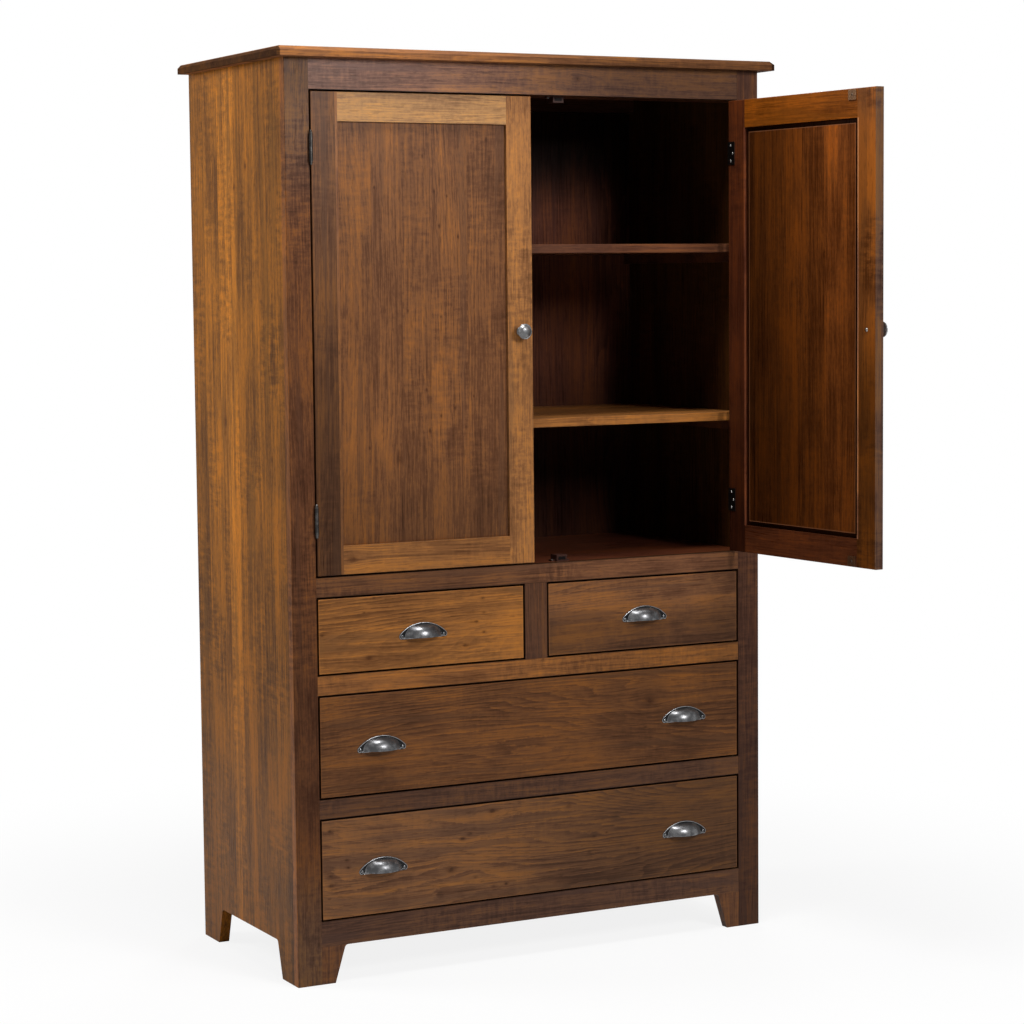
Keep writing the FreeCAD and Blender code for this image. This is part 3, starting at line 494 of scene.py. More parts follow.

# The fades and drifts below paint light and shade, with some of the wood's own tone.
MAPLE = {
    "side_left": maple(
        "side_plank_maple", "side", stain(152, 95, 31),
        boards=((-0.25, 0.85), (-0.112, 0.94), (0.003, 1.25), (0.03, 1.36), (0.065, 1.16), (0.1, 1.0), (0.178, 0.8)),
        knots=((0.011, 1.565, 0.006, -0.09), (-0.049, 1.604, 0.006, 0.0), (0.078, 1.094, 0.007, 0.06),
               (-0.171, 1.258, 0.007, 0.0), (-0.180, 1.215, 0.008, -0.05), (-0.161, 1.030, 0.005, 0.0)),
        light_and_tone_fades=((0.1, 0.64, 1.1, 1.0),), streak=1.1, curl=1.0, fleck=2.4, seed=1.7, gloss=0.05),
    # Its face inside the case carries painted shade.
    "side_right": maple(
        "right_side_maple", "side", stain(128, 82, 42),
        boards=((-0.25, 0.95), (-0.131, 1.06), (0.022, 0.92), (0.151, 1.05)),
        knots=((-0.06, 1.36, 0.007, 0.05), (0.09, 0.71, 0.006, 0.0)),
        curl=0.6, seed=12.3, inner_shade=(0.513, 0.25), gloss=0.05),
    # Painted sheen at its top and its foot, a painted highlight line along its outer edge, and painted shade lower
    # down.
    "stile_left": maple(
        "left_stile_maple", "upright", stain(102, 64, 40), light_and_tone_fades=((0.5, 0.7, 1.0, 1.0),),
        edge_light_strips=((-0.5335, -0.533, *WHOLE_EDGE, (1.75, 1.65, 1.15)),),
        painted_sheens=((1.48, 1.7, (1.0, 1.3, 1.8)), (0.3, 0.06, (1.14, 1.5, 2.0))),
        streak=0.6, cloud=1.5, curl=1.2, fleck=2.2, seed=3.1, gloss=0.05),
    "stile_right": maple(
        # Here and in the rails, centre stile, apron and door frames, a thin board of low gain at an edge is painted
        # shade beside a gap.
        "right_stile_maple", "upright", stain(80, 51, 36), boards=((0.4826, 0.2), (0.4831, 0.96)),
        light_and_tone_fades=((0.25, 0.7, 0.9, 1.3),), curl=0.9, seed=5.9),
    # Its fade towards the left end is painted sheen along with the wood's tone.
    "top_rail": maple(
        "top_rail_maple", "level", stain(98, 68, 52), boards=((1.7422, 0.3), (1.7427, 1.0)),
        knots=((1.776, 0.105, 0.006, 0.0),), light_and_tone_fades=((-0.35, 2.45, 0.25, 0.78),),
        curl=0.6, cloud=1.2, fleck=2.0, seed=8.2),
    "door_rail": maple(
        "door_rail_maple", "level", stain(98, 64, 41), boards=gap_shaded(0.7643, 0.8027),
        light_and_tone_fades=((-0.2, 1.03, 0.25, 1.5),), curl=1.0, seed=10.4),
    "upper_drawer_rail": maple(
        "upper_rail_maple", "level", stain(120, 77, 41), boards=gap_shaded(0.5719, 0.6103),
        light_and_tone_fades=((-0.2, 1.24, 0.3, 0.95),), curl=0.7, seed=14.9),
    "lower_drawer_rail": maple(
        "lower_rail_maple", "level", stain(81, 54, 38), boards=gap_shaded(0.3280, 0.3664), curl=0.7, seed=17.3),
    "apron": maple(
        "apron_maple", "level", stain(80, 54, 39), boards=((0.07, 1.12), (0.124, 0.2)), curl=0.7, seed=19.8),
    "centre_stile": maple(
        "centre_stile_maple", "upright", stain(84, 55, 38), boards=gap_shaded(-0.0254, 0.0254), curl=0.5, seed=22.6),
    "foot_blocks": maple("foot_block_maple", "upright", stain(92, 60, 40), cloud=1.4, curl=0.9, seed=25.5),
    "top_board": maple(
        "top_board_maple", "flat", stain(132, 88, 56), boards=((-0.28, 1.0), (-0.1, 1.08), (0.09, 0.94)),
        light_and_tone_fades=((-0.35, 1.15, 0.3, 0.5),), ends=TOP_ENDS, curl=0.5, seed=28.1, gloss=0.01, roughness=0.65),
    "left_door_hinge_stile": maple(
        "left_hinge_stile_maple", "upright", stain(98, 64, 40),
        boards=((-0.4792, 0.3), (-0.4787, 0.87), (-0.4292, 1.4)), light_and_tone_fades=((0.95, 0.8, 1.6, 1.35),),
        curl=0.5, seed=31.0),
    "left_door_meeting_stile": maple(
        "left_meeting_stile_maple", "upright", stain(150, 101, 58), boards=((-0.0576, 1.0), (-0.0021, 0.3)),
        light_and_tone_fades=((1.05, 0.97, 1.55, 1.08),), streak=0.4, fleck=2.2, curl=0.7, seed=34.6),
    # Its light tone is partly the wood's own and partly painted sheen.
    "left_door_top_rail": maple(
        "left_top_rail_maple", "level", stain(173, 128, 82), boards=((1.68, 1.0), (1.7383, 0.3)),
        rings=(0.35, 0.14, 0.004, 0.24), streak=0.5, fleck=1.5, cloud=0.6, seed=37.2),
    "left_door_bottom_rail": maple(
        "left_bottom_rail_maple", "level", stain(136, 90, 50), boards=((0.8061, 0.3), (0.8066, 1.0)),
        knots=((0.836, -0.405, 0.006, 0.0),), streak=0.9, seed=40.7),
    "left_door_panel": maple(
        "left_panel_maple", "upright", stain(113, 73, 44),
        boards=((-0.44, 1.02), (-0.352, 1.1), (-0.288, 1.06), (-0.225, 1.1), (-0.143, 1.06)),
        knots=((-0.344, 1.556, 0.0025, -0.06), (-0.215, 1.550, 0.0025, -0.12), (-0.187, 1.541, 0.002, -0.06),
               (-0.205, 1.482, 0.0025, -0.09), (-0.164, 1.461, 0.0025, -0.07), (-0.240, 1.618, 0.0025, 0.0),
               (-0.203, 1.304, 0.002, -0.04), (-0.099, 1.652, 0.003, -0.05), (-0.361, 1.051, 0.0025, 0.05),
               (-0.230, 1.080, 0.0028, 0.16), (-0.236, 1.161, 0.002, 0.1), (-0.205, 1.109, 0.0022, -0.05),
               (-0.174, 1.123, 0.0025, 0.05), (-0.150, 1.085, 0.002, -0.04), (-0.132, 1.146, 0.002, 0.04),
               (-0.275, 1.317, 0.002, 0.12), (-0.298, 1.030, 0.007, 0.0)),
        light_and_tone_fades=((0.88, 0.72, 1.12, 1.0),), streak=0.6, curl=0.6, fleck=1.6, seed=43.3),
    # The open right door's pieces carry painted shade in their tone, lifted on the face towards the room.
    "right_door_hinge_stile": maple(
        "right_hinge_stile_maple", "upright", stain(81, 40, 22), light_and_tone_fades=((0.85, 0.5, 1.25, 1.0),),
        # A painted highlight line along the stile's inner arris.
        edge_light_strips=((0.422, 0.4262, *DOOR_SIGHT, DOOR_SIGHT_DEPTH, (2.2, 2.6, 3.2)),),
        outside=(1.45, 2.3, 2.9), curl=0.8, cloud=1.4, seed=46.1, on_open_door=True),
    "right_door_meeting_stile": maple(
        "right_meeting_stile_maple", "upright", stain(117, 67, 28), light_and_tone_fades=((1.12, 0.53, 1.36, 1.3),),
        # A greyer tint along its meeting edge, and a painted highlight line along its inner arris.
        edge_light_strips=((0.0, 0.0026, *WHOLE_EDGE, (0.54, 0.84, 2.4)),
                (0.0536, 0.06, *DOOR_SIGHT, DOOR_SIGHT_DEPTH, (2.4, 3.2, 7.0))),
        outside=(1.6, 2.1, 3.2), cloud=2.4, curl=1.4, seed=49.4, on_open_door=True),
    "right_door_top_rail": maple(
        "right_top_rail_maple", "level", stain(139, 74, 18), outside=(1.25, 2.0, 7.5), cloud=1.4, seed=52.8,
        on_open_door=True),
    "right_door_bottom_rail": maple(
        "right_bottom_rail_maple", "level", stain(92, 48, 26), outside=(1.8, 2.6, 2.6), seed=55.2,
        on_open_door=True),
    # Its field's edges carry a painted highlight with painted shade in the groove beyond, and its fades and drift
    # paint the door's light and shade.
    "right_door_panel": maple(
        "right_panel_maple", "upright", stain(99, 52, 19),
        boards=((0.04, 1.0), (0.112, 1.14), (0.163, 0.9), (0.235, 0.93), (0.335, 1.02), (0.392, 0.9)),
        knots=((0.165, 1.42, 0.006, -0.06),), light_and_tone_fades=((0.95, 0.66, 1.5, 1.08),), drift=(0.09, 1.55, 0.40, 0.52),
        eased=DOOR_FIELD, edge_light=(0.9, (2.2, 3.2, 8.0)), behind=-0.239, outside=(1.3, 1.85, 3.6),
        cloud=1.2, streak=0.9, fleck=1.8, seed=58.5, on_open_door=True),
    SMALL_LEFT: maple(
        "left_small_front_maple", "level", stain(138, 90, 46),
        knots=((0.741, -0.121, 0.003, 0.0), (0.712, -0.118, 0.003, 0.0), (0.695, -0.135, 0.003, -0.02),
               (0.673, -0.118, 0.003, 0.0), (0.757, -0.360, 0.002, 0.0), (0.729, -0.382, 0.002, 0.02),
               (0.690, -0.472, 0.0025, 0.0), (0.649, -0.160, 0.004, 0.03), (0.639, -0.372, 0.005, 0.0)),
        rings=(0.4, 0.12, 0.0038, 0.16), eased=outline(SMALL_LEFT), seed=61.9),
    SMALL_RIGHT: maple(
        "right_small_front_maple", "level", stain(104, 69, 44), rings=(0.4, 0.12, 0.004, 0.13),
        drift=(0.66, 0.7, 0.72, 1.18), eased=outline(SMALL_RIGHT), streak=0.7, cloud=1.6, seed=64.4),
    MIDDLE: maple(
        "middle_front_maple", "level", stain(98, 62, 34),
        knots=((0.448, 0.255, 0.003, 0.0), (0.504, 0.266, 0.009, 0.0)), rings=(0.4, 0.12, 0.0038, 0.17),
        eased=outline(MIDDLE), light_and_tone_fades=((-0.3, 1.1, 0.3, 0.94),), cloud=1.1, seed=67.7),
    LOWER: maple(
        "lower_front_maple", "level", stain(101, 68, 43),
        knots=((0.308, -0.104, 0.005, 0.0), (0.303, -0.460, 0.004, 0.02), (0.258, -0.171, 0.004, 0.0),
               (0.266, -0.155, 0.004, 0.0), (0.242, -0.426, 0.003, 0.0), (0.227, -0.423, 0.003, 0.0),
               (0.198, -0.198, 0.007, 0.0), (0.214, -0.461, 0.003, 0.0), (0.194, -0.460, 0.004, 0.0),
               (0.169, -0.465, 0.002, 0.0), (0.177, -0.144, 0.003, 0.0), (0.155, -0.074, 0.003, 0.0),
               (0.153, -0.103, 0.003, 0.0), (0.147, -0.222, 0.004, 0.0), (0.231, 0.131, 0.003, 0.0),
               (0.236, 0.161, 0.002, 0.0), (0.199, 0.120, 0.003, 0.0), (0.195, 0.235, 0.003, 0.0),
               (0.300, 0.071, 0.004, 0.0)),
        rings=(0.4, 0.13, 0.004, 0.16), eased=outline(LOWER), light_and_tone_fades=((-0.35, 1.28, 0.35, 0.66),),
        cloud=1.1, seed=70.3),
    "shelf_upper": maple("upper_shelf_maple", "flat", stain(98, 60, 40), seed=73.1),
    "shelf_lower": maple("lower_shelf_maple", "flat", stain(149, 97, 50), seed=76.6),
    # The back's inside face has painted shade towards its foot and a painted shadow under the top.
    "back_panel": maple(
        "back_panel_maple", "upright", stain(88, 50, 36), rings=(0.35, 0.16, 0.005, 0.16),
        light_and_tone_fades=((0.95, 0.25, 1.4, 1.0, BACK_INSIDE), (1.48, 1.2, 1.65, 0.14, BACK_INSIDE)), seed=79.9),
    "cupboard_floor": maple("cupboard_floor_maple", "flat", stain(84, 44, 28), seed=82.2),
}
INSIDE_MAPLE = maple("inside_maple", "flat", stain(80, 46, 30), seed=85.0)
PLAIN_MAPLE_LEVEL = maple("clear_maple_ends", "level", stain(196, 160, 112), streak=0.5, cloud=0.5, seed=88.0)
PLAIN_MAPLE_FLAT = maple("clear_maple", "flat", stain(200, 166, 120), streak=0.5, cloud=0.5, seed=91.0)


# Metal and plastic

PATINA_WAVES = 70.0
SPECK_WAVES = 900.0
SPECKS_IN_PATINA = 0.35
RUBBED_SHOWS = (0.42, 0.66)
RUBBED_POLISH = 0.1
SPECK_ROUGHNESS = 0.12
RIM_HALF = 0.0003
RIM_HOLLOW = 0.0009
HOLLOW_SHADE = 0.15
RIM_SHINE = 1.2


def even(number):
    """The same number for all three axes, or all three parts of a colour."""
    return number, number, number


def cast_metal(name, tone, worn_tone, polish, bare=1.0, rim=None):
    """Antiqued cast metal: rubbed lighter in soft patches, with fine pits. bare is the share of metal that no
    dull film covers; rim is the level of Y of a raised edge, which is rubbed bright, with a dark hollow behind it."""
    metal = Finish(name)
    place = metal.place()
    patina = metal.noise(place, even(PATINA_WAVES), 4.0, 0.6)
    specks = metal.noise(place, even(SPECK_WAVES), 2.0, 0.6)
    rubbed = metal.smooth(patina + (specks - 0.5) * SPECKS_IN_PATINA, *RUBBED_SHOWS)
    colour = metal.mix(rubbed, (*tone, 1.0), (*worn_tone, 1.0))
    if rim:
        level = metal.node("ShaderNodeSeparateXYZ", None, {"Vector": place}, 1)
        hollow = metal.smooth(level, rim + RIM_HALF, rim + RIM_HOLLOW)
        colour = metal.mix(hollow, colour, tinted(tone, *even(HOLLOW_SHADE)))
        edge = metal.math("COMPARE", level, rim, RIM_HALF)
        colour = metal.mix(edge, colour, tinted(worn_tone, *even(RIM_SHINE)))
    return metal.close(
        Base_Color=colour,
        Metallic=bare,
        Roughness=polish + (0.5 - rubbed) * RUBBED_POLISH + (specks - 0.5) * SPECK_ROUGHNESS,
        Normal=metal.bump(specks + patina, strength=0.12, distance=0.0003),
    )


def moulded_plastic(name, tone):
    """Plain plastic with a fine grain, a little darker and lighter where it flowed."""
    plastic = Finish(name)
    place = plastic.place()
    grain = plastic.noise(place, even(1400.0))
    flow = plastic.noise(place, (60.0, 60.0, 20.0))
    return plastic.close(
        Base_Color=plastic.mix(flow, tinted(tone, *even(0.85)), tinted(tone, *even(1.15))),
        Roughness=0.42 + (grain - 0.5) * 0.2,
        Normal=plastic.bump(grain, strength=0.1, distance=0.0002),
        Specular_IOR_Level=0.15,
    )


PULL_PEWTER = cast_metal("pull_pewter", (0.1, 0.1, 0.104), (0.24, 0.24, 0.245), 0.29, bare=0.84, rim=-0.2518)
PEWTER = cast_metal("antique_pewter", (0.16, 0.16, 0.164), (0.36, 0.36, 0.365), 0.3, bare=0.75)
HINGE_STEEL = cast_metal("hinge_steel", (0.045, 0.043, 0.041), (0.13, 0.122, 0.115), 0.34)
SCREW_STEEL = cast_metal("screw_steel", (0.34, 0.33, 0.31), (0.5, 0.49, 0.47), 0.26)
SCREW_BRONZE = cast_metal("screw_bronze", (0.12, 0.09, 0.07), (0.22, 0.17, 0.13), 0.4)
STRIKE_BRONZE = cast_metal("strike_bronze", (0.16, 0.09, 0.05), (0.26, 0.15, 0.08), 0.42)
MAGNET_STEEL = cast_metal("magnet_steel", (0.012, 0.01, 0.01), (0.03, 0.025, 0.024), 0.5)
CATCH_BROWN = moulded_plastic("catch_brown", stain(58, 34, 27))

FINISH_BY_ENDING = {
    "catch_bodies": CATCH_BROWN,
    "catch_magnets": MAGNET_STEEL,
    "hinge_leaves": HINGE_STEEL,
    "hinge_pins": HINGE_STEEL,
    "_strikes": STRIKE_BRONZE,
    "_pulls": PEWTER,
    "_knob": PEWTER,
    "_box": PLAIN_MAPLE_LEVEL,
    "_bottom": PLAIN_MAPLE_FLAT,
    "drawer_runners": PLAIN_MAPLE_FLAT,
    "centre_runner": PLAIN_MAPLE_FLAT,
}


def finish_of(name):
    """A node's own maple, else what its kind of piece is made of, else the plain wood inside the case."""
    if name in MAPLE:
        return MAPLE[name]
    for ending, finish in FINISH_BY_ENDING.items():
        if name.endswith(ending):
            return finish
    return INSIDE_MAPLE


for name, body_node in nodes.items():
    body_node.data.materials.clear()
    body_node.data.materials.append(finish_of(name))


# Hardware

WELD = 0.00001
SHARP_ANGLE = math.radians(38)
CENTRE = (0.0, 0.0, 0.0)
UPRIGHT = (0.0, 0.0, 1.0)
TOWARDS_FRONT = (0.0, -1.0, 0.0)
FULL_TURN = 2 * math.pi

UNTURNED = Matrix.Identity(4)
OPENED = Matrix.Translation(RIGHT_HINGE) @ Matrix.Rotation(OPEN_ANGLE, 4, "Z") @ Matrix.Translation(-RIGHT_HINGE)
DOORS = (("left_door", UNTURNED, -1), ("right_door", OPENED, 1))

FACING_FRONT = Matrix.Rotation(math.pi / 2, 4, "X")
FACING_BACK = Matrix.Rotation(-math.pi / 2, 4, "X")
FACING_DOWN = Matrix.Rotation(math.pi, 4, "X")
FACING_UP = Matrix.Identity(4)


def spot(x, y, z, facing):
    return Matrix.Translation(Vector((x, y, z)) * MM) @ facing


def settle(shape):
    """Puts edges and faces in the order of their corners, so that the mesh is the same each time."""
    shape.verts.index_update()
    count = len(shape.verts)

    def rank(item):
        place = 0
        for index in sorted(corner.index for corner in item.verts)[:3]:
            place = place * count + index
        return place

    shape.edges.sort(key=rank)
    shape.faces.sort(key=rank)


def clean(shape):
    """Welds what meets and turns the faces outward."""
    bmesh.ops.remove_doubles(shape, verts=shape.verts, dist=WELD)
    bmesh.ops.recalc_face_normals(shape, faces=shape.faces)
    settle(shape)


def corners_of(geometry):
    return [item for item in geometry if isinstance(item, bmesh.types.BMVert)]


def piece(name, shape, finish, body, stands_for=()):
    """Puts a finished bmesh into the scene, riding on its body."""
    clean(shape)
    mesh = bpy.data.meshes.new(name)
    shape.to_mesh(mesh)
    shape.free()
    mesh.polygons.foreach_set("use_smooth", [True] * len(mesh.polygons))
    mesh.set_sharp_from_angle(angle=SHARP_ANGLE)
    mesh.materials.append(finish)
    made = bpy.data.objects.new(name, mesh)
    bpy.context.scene.collection.objects.link(made)
    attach(made, body)
    if stands_for:
        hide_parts(*stands_for)


def joined(shapes):
    """One bmesh with the geometry of several."""
    whole = bmesh.new()
    for shape in shapes:
        carrier = bpy.data.meshes.new("carrier")
        shape.to_mesh(carrier)
        shape.free()
        whole.from_mesh(carrier)
        bpy.data.meshes.remove(carrier)
    return whole


def turn_round(shape, steps):
    """Turns a curve all the way about Z."""
    bmesh.ops.spin(shape, geom=shape.verts[:] + shape.edges[:], cent=CENTRE, axis=UPRIGHT,
                   angle=FULL_TURN, steps=steps, use_merge=True)
    settle(shape)


def lathe(profile, steps, rounding=0.0):
    """A closed form turned about Z from (radius, height) in mm, its profile's corners rounded first."""
    shape = bmesh.new()
    points = [shape.verts.new((radius * MM, 0.0, height * MM)) for radius, height in profile]
    for first, second in zip(points, points[1:]):
        shape.edges.new((first, second))
    if rounding:
        bmesh.ops.bevel(shape, geom=points[1:-1], offset=rounding * MM, segments=3, profile=0.5,
                        affect="VERTICES", material=-1)
    turn_round(shape, steps)
    clean(shape)
    return shape


# Shares of a screw head's radius, and of its rise for the heights of the profile.
SCREW_PROFILE = ((0.0, 1.0), (0.3, 0.97), (0.62, 0.8), (0.86, 0.5), (1.0, 0.06), (1.0, -1.0))
SCREW_RISE = 0.42
SCREW_STEPS = 16
RECESS_CORE = 0.3
RECESS_ARM = 0.66
RECESS_SINK = 0.45


def screw(place, radius):
    """A domed screw head with a cross recess, facing +Z before it is set in place."""
    rise = SCREW_RISE * radius
    shape = lathe([(share * radius, height * rise) for share, height in SCREW_PROFILE], SCREW_STEPS)
    half_step = Matrix.Rotation(math.pi / SCREW_STEPS, 3, "Z")
    bmesh.ops.rotate(shape, verts=shape.verts, cent=CENTRE, matrix=half_step)
    recess = []
    for face in shape.faces:
        middle = face.calc_center_median()
        reach = math.hypot(middle.x, middle.y)
        on_cross = min(abs(middle.x), abs(middle.y)) < 0.05 * reach
        if reach < (RECESS_ARM if on_cross else RECESS_CORE) * radius * MM:
            recess.append(face)
    sunk = bmesh.ops.extrude_face_region(shape, geom=recess)
    bmesh.ops.delete(shape, geom=recess, context="FACES")
    sink = (0.0, 0.0, -RECESS_SINK * radius * MM)
    bmesh.ops.translate(shape, verts=corners_of(sunk["geom"]), vec=sink)
    bmesh.ops.transform(shape, verts=shape.verts, matrix=place)
    return shape


# Cup pulls, with lengths in mm

EAR_SPACING = 92.0
EAR_RADIUS = 6.5
EAR_STEPS = 16
EAR_SCREW = 2.9
EAR_SCREW_SINK = 0.5
ARCH_RISE = 25.5
ARCH_STEPS = 40
FLANGE = 1.8
RIM_RISE = 0.6
# Width and rise of the raised edge's slopes, from its outside in.
RIM_SLOPES = ((0.15, 0.35), (0.35, 0.25), (0.8, 0.0), (0.4, -1.2))
CUP_WIDTH = 83.0
CUP_PROJECTION = 22.5
CUP_TOP = 21.3
CUP_FOOT = -3.5
CUP_WALL = 1.6
CUP_CURVE_STEPS = 14
CUP_TURN_STEPS = 96


def cup():
    """The hollow cup: a curve turned about an upright line behind the drawer front, open at foot and back."""
    axis = (CUP_WIDTH ** 2 / 4 - CUP_PROJECTION ** 2) / (2 * CUP_PROJECTION)
    shape = bmesh.new()
    start = bmesh.ops.create_vert(shape, co=(1.0, 0.0, 0.0))["vert"]
    bmesh.ops.spin(shape, geom=start, cent=CENTRE, axis=TOWARDS_FRONT, angle=math.pi / 2, steps=CUP_CURVE_STEPS)
    bmesh.ops.scale(shape, verts=shape.verts, vec=(CUP_PROJECTION * MM, 1.0, (CUP_TOP - CUP_FOOT) * MM))
    bmesh.ops.translate(shape, verts=shape.verts, vec=(axis * MM, 0.0, CUP_FOOT * MM))
    turn_round(shape, CUP_TURN_STEPS)
    bmesh.ops.remove_doubles(shape, verts=shape.verts, dist=WELD)
    bmesh.ops.translate(shape, verts=shape.verts, vec=(0.0, axis * MM, 0.0))
    bmesh.ops.bisect_plane(shape, geom=shape.verts[:] + shape.edges[:] + shape.faces[:], plane_co=CENTRE,
                           plane_no=(0.0, 1.0, 0.0), clear_outer=True)
    bmesh.ops.recalc_face_normals(shape, faces=shape.faces)
    crown = max(shape.faces, key=lambda face: face.calc_center_median().z)
    if crown.normal.z < 0:
        bmesh.ops.reverse_faces(shape, faces=shape.faces)
    bmesh.ops.solidify(shape, geom=shape.faces[:], thickness=CUP_WALL * MM)
    return shape


def flange():
    """The flat rim: two round ears that hang below the foot and an arch tangent to both, with a raised edge."""
    half = EAR_SPACING / 2
    lift = ARCH_RISE - EAR_RADIUS
    arch_centre = (lift ** 2 - half ** 2) / (2 * lift)
    away = math.atan2(-arch_centre, half)
    under = math.acos(-CUP_FOOT / EAR_RADIUS)
    round_ear = under + math.pi / 2 + away
    shape = bmesh.new()
    foot = ((half - EAR_RADIUS * math.sin(under)) * MM, 0.0, CUP_FOOT * MM)
    last = bmesh.ops.create_vert(shape, co=foot)["vert"]
    runs = (
        ((half, 0.0), round_ear, EAR_STEPS),
        ((0.0, arch_centre), math.pi - 2 * away, ARCH_STEPS),
        ((-half, 0.0), round_ear, EAR_STEPS),
    )
    for (x, z), angle, steps in runs:
        turned = bmesh.ops.spin(shape, geom=last, cent=(x * MM, 0.0, z * MM), axis=TOWARDS_FRONT,
                                angle=angle, steps=steps)
        last = corners_of(turned["geom_last"])
    bmesh.ops.contextual_create(shape, geom=shape.verts[:])
    raised = bmesh.ops.extrude_face_region(shape, geom=shape.faces[:])["geom"]
    bmesh.ops.translate(shape, verts=corners_of(raised), vec=(0.0, (RIM_RISE - FLANGE) * MM, 0.0))
    front = [item for item in raised if isinstance(item, bmesh.types.BMFace)]
    bmesh.ops.recalc_face_normals(shape, faces=shape.faces)
    for width, rise in RIM_SLOPES:
        bmesh.ops.inset_region(shape, faces=front, thickness=width * MM, depth=rise * MM, use_even_offset=True)
    return shape


def cup_pull(place):
    shapes = [cup(), flange()]
    for shape in shapes:
        bmesh.ops.transform(shape, verts=shape.verts, matrix=place)
    for side in (-1, 1):
        ear = spot(side * EAR_SPACING / 2, EAR_SCREW_SINK - FLANGE, 0.0, FACING_FRONT)
        shapes.append(screw(place @ ear, EAR_SCREW))
    return shapes


for drawer in ("left_small_drawer", "right_small_drawer", "middle_drawer", "lower_drawer"):
    low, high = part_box(f"{drawer}_pulls")
    reach = (EAR_SPACING / 2 + EAR_RADIUS) * MM
    places = {round(low.x + reach, 5), round(high.x - reach, 5)}
    shapes = []
    for pull_x in sorted(places):
        shapes += cup_pull(Matrix.Translation((pull_x, high.y, low.z + EAR_RADIUS * MM)))
    piece(f"{drawer}_cup_pulls", joined(shapes), PULL_PEWTER, drawer, [f"{drawer}_pulls"])


# Knobs, with lengths in mm

KNOB_PROFILE = (
    (0.0, 0.0), (9.0, 0.0), (9.0, 1.9), (7.6, 2.7), (6.2, 5.2), (6.0, 10.0), (6.6, 14.6), (9.4, 16.6),
    (14.6, 18.2), (15.7, 19.8), (15.1, 21.0), (13.7, 21.5), (13.2, 21.2), (11.6, 23.1), (8.6, 25.3),
    (4.6, 26.6), (0.0, 27.0),
)
KNOB_STEPS = 56
KNOB_ROUNDING = 0.5
KNOB_X = 29.6
KNOB_Z = 1272.45

for door, turn, side in DOORS:
    knob = lathe(KNOB_PROFILE, KNOB_STEPS, KNOB_ROUNDING)
    place = turn @ spot(side * KNOB_X, FRONT_Y, KNOB_Z, FACING_FRONT)
    bmesh.ops.transform(knob, verts=knob.verts, matrix=place)
    piece(f"{door}_mushroom_knob", knob, PEWTER, door, [f"{door}_knob"])


# Hinge pins and screws, with lengths in mm

PIN_HALF = (
    (0.0, 33.6), (1.5, 33.3), (2.6, 32.2), (3.0, 30.6), (2.7, 29.6), (2.1, 29.0), (3.3, 28.9), (3.4, 27.2),
    (2.0, 27.0),
)
PIN_PROFILE = PIN_HALF + tuple((radius, -height) for radius, height in reversed(PIN_HALF))
PIN_STEPS = 24
HINGE_HEIGHTS = (913.6, 1631.3)

pins = []
for side in (-1, 1):
    for height in HINGE_HEIGHTS:
        pin = lathe(PIN_PROFILE, PIN_STEPS)
        bmesh.ops.translate(pin, verts=pin.verts, vec=Vector((side * HINGE_X, HINGE_Y, height)) * MM)
        pins.append(pin)
piece("ball_tip_hinge_pins", joined(pins), HINGE_STEEL, "carcass", ["hinge_pins"])

KNOB_BOLT = 4.2
LEAF_SCREW = 2.9
LEAF_SCREWS = ((8.5, -16.0), (15.5, 0.0), (8.5, 16.0))
LEAF_FACE_Y = -228.7
DOOR_EDGE_X = 479.2
FRAME_LEAF_X = 492.0
FRAME_SCREW = 2.7
FRAME_SCREW_RISES = (-15.0, 0.0, 15.0)
STRIKE_X = 73.0
STRIKE_SCREW = 3.0
STRIKE_SCREW_Y = -229.1
STRIKE_HEIGHTS = (817.6, 1727.3)
CATCH_SCREW = 2.5
CATCH_EAR_X = 16.3
CATCH_EAR_Y = -214.6
UPPER_CATCH_Z = 1739.2
LOWER_CATCH_Z = 805.7

for door, turn, side in DOORS:
    screws = [screw(turn @ spot(side * KNOB_X, DOOR_BACK_Y, KNOB_Z, FACING_BACK), KNOB_BOLT)]
    for height in HINGE_HEIGHTS:
        for inset, rise in LEAF_SCREWS:
            place = spot(side * (DOOR_EDGE_X - inset), LEAF_FACE_Y, height + rise, FACING_BACK)
            screws.append(screw(turn @ place, LEAF_SCREW))
    strike_screws = []
    for height in STRIKE_HEIGHTS:
        place = spot(side * STRIKE_X, STRIKE_SCREW_Y, height, FACING_BACK)
        strike_screws.append(screw(turn @ place, STRIKE_SCREW))
    piece(f"{door}_screws", joined(screws), SCREW_STEEL, door)
    piece(f"{door}_strike_screws", joined(strike_screws), SCREW_BRONZE, door)

screws = []
for side in (-1, 1):
    for height in HINGE_HEIGHTS:
        for rise in FRAME_SCREW_RISES:
            place = spot(side * FRAME_LEAF_X, LEAF_FACE_Y, height + rise, FACING_BACK)
            screws.append(screw(place, FRAME_SCREW))
    for ear in (-CATCH_EAR_X, CATCH_EAR_X):
        for level, facing in ((UPPER_CATCH_Z, FACING_DOWN), (LOWER_CATCH_Z, FACING_UP)):
            screws.append(screw(spot(side * STRIKE_X + ear, CATCH_EAR_Y, level, facing), CATCH_SCREW))
piece("case_screws", joined(screws), SCREW_STEEL, "carcass")


# Camera

CAMERA_PLACE = (-2.5509, -5.0217, 1.3804)
CAMERA_YAW = math.radians(27.635)
CAMERA_PITCH = math.radians(4.981)
CAMERA_ROLL = math.radians(-0.551)
CAMERA_LENS = 94.66
CAMERA_SENSOR = 36.0
CAMERA_REACH = 100.0

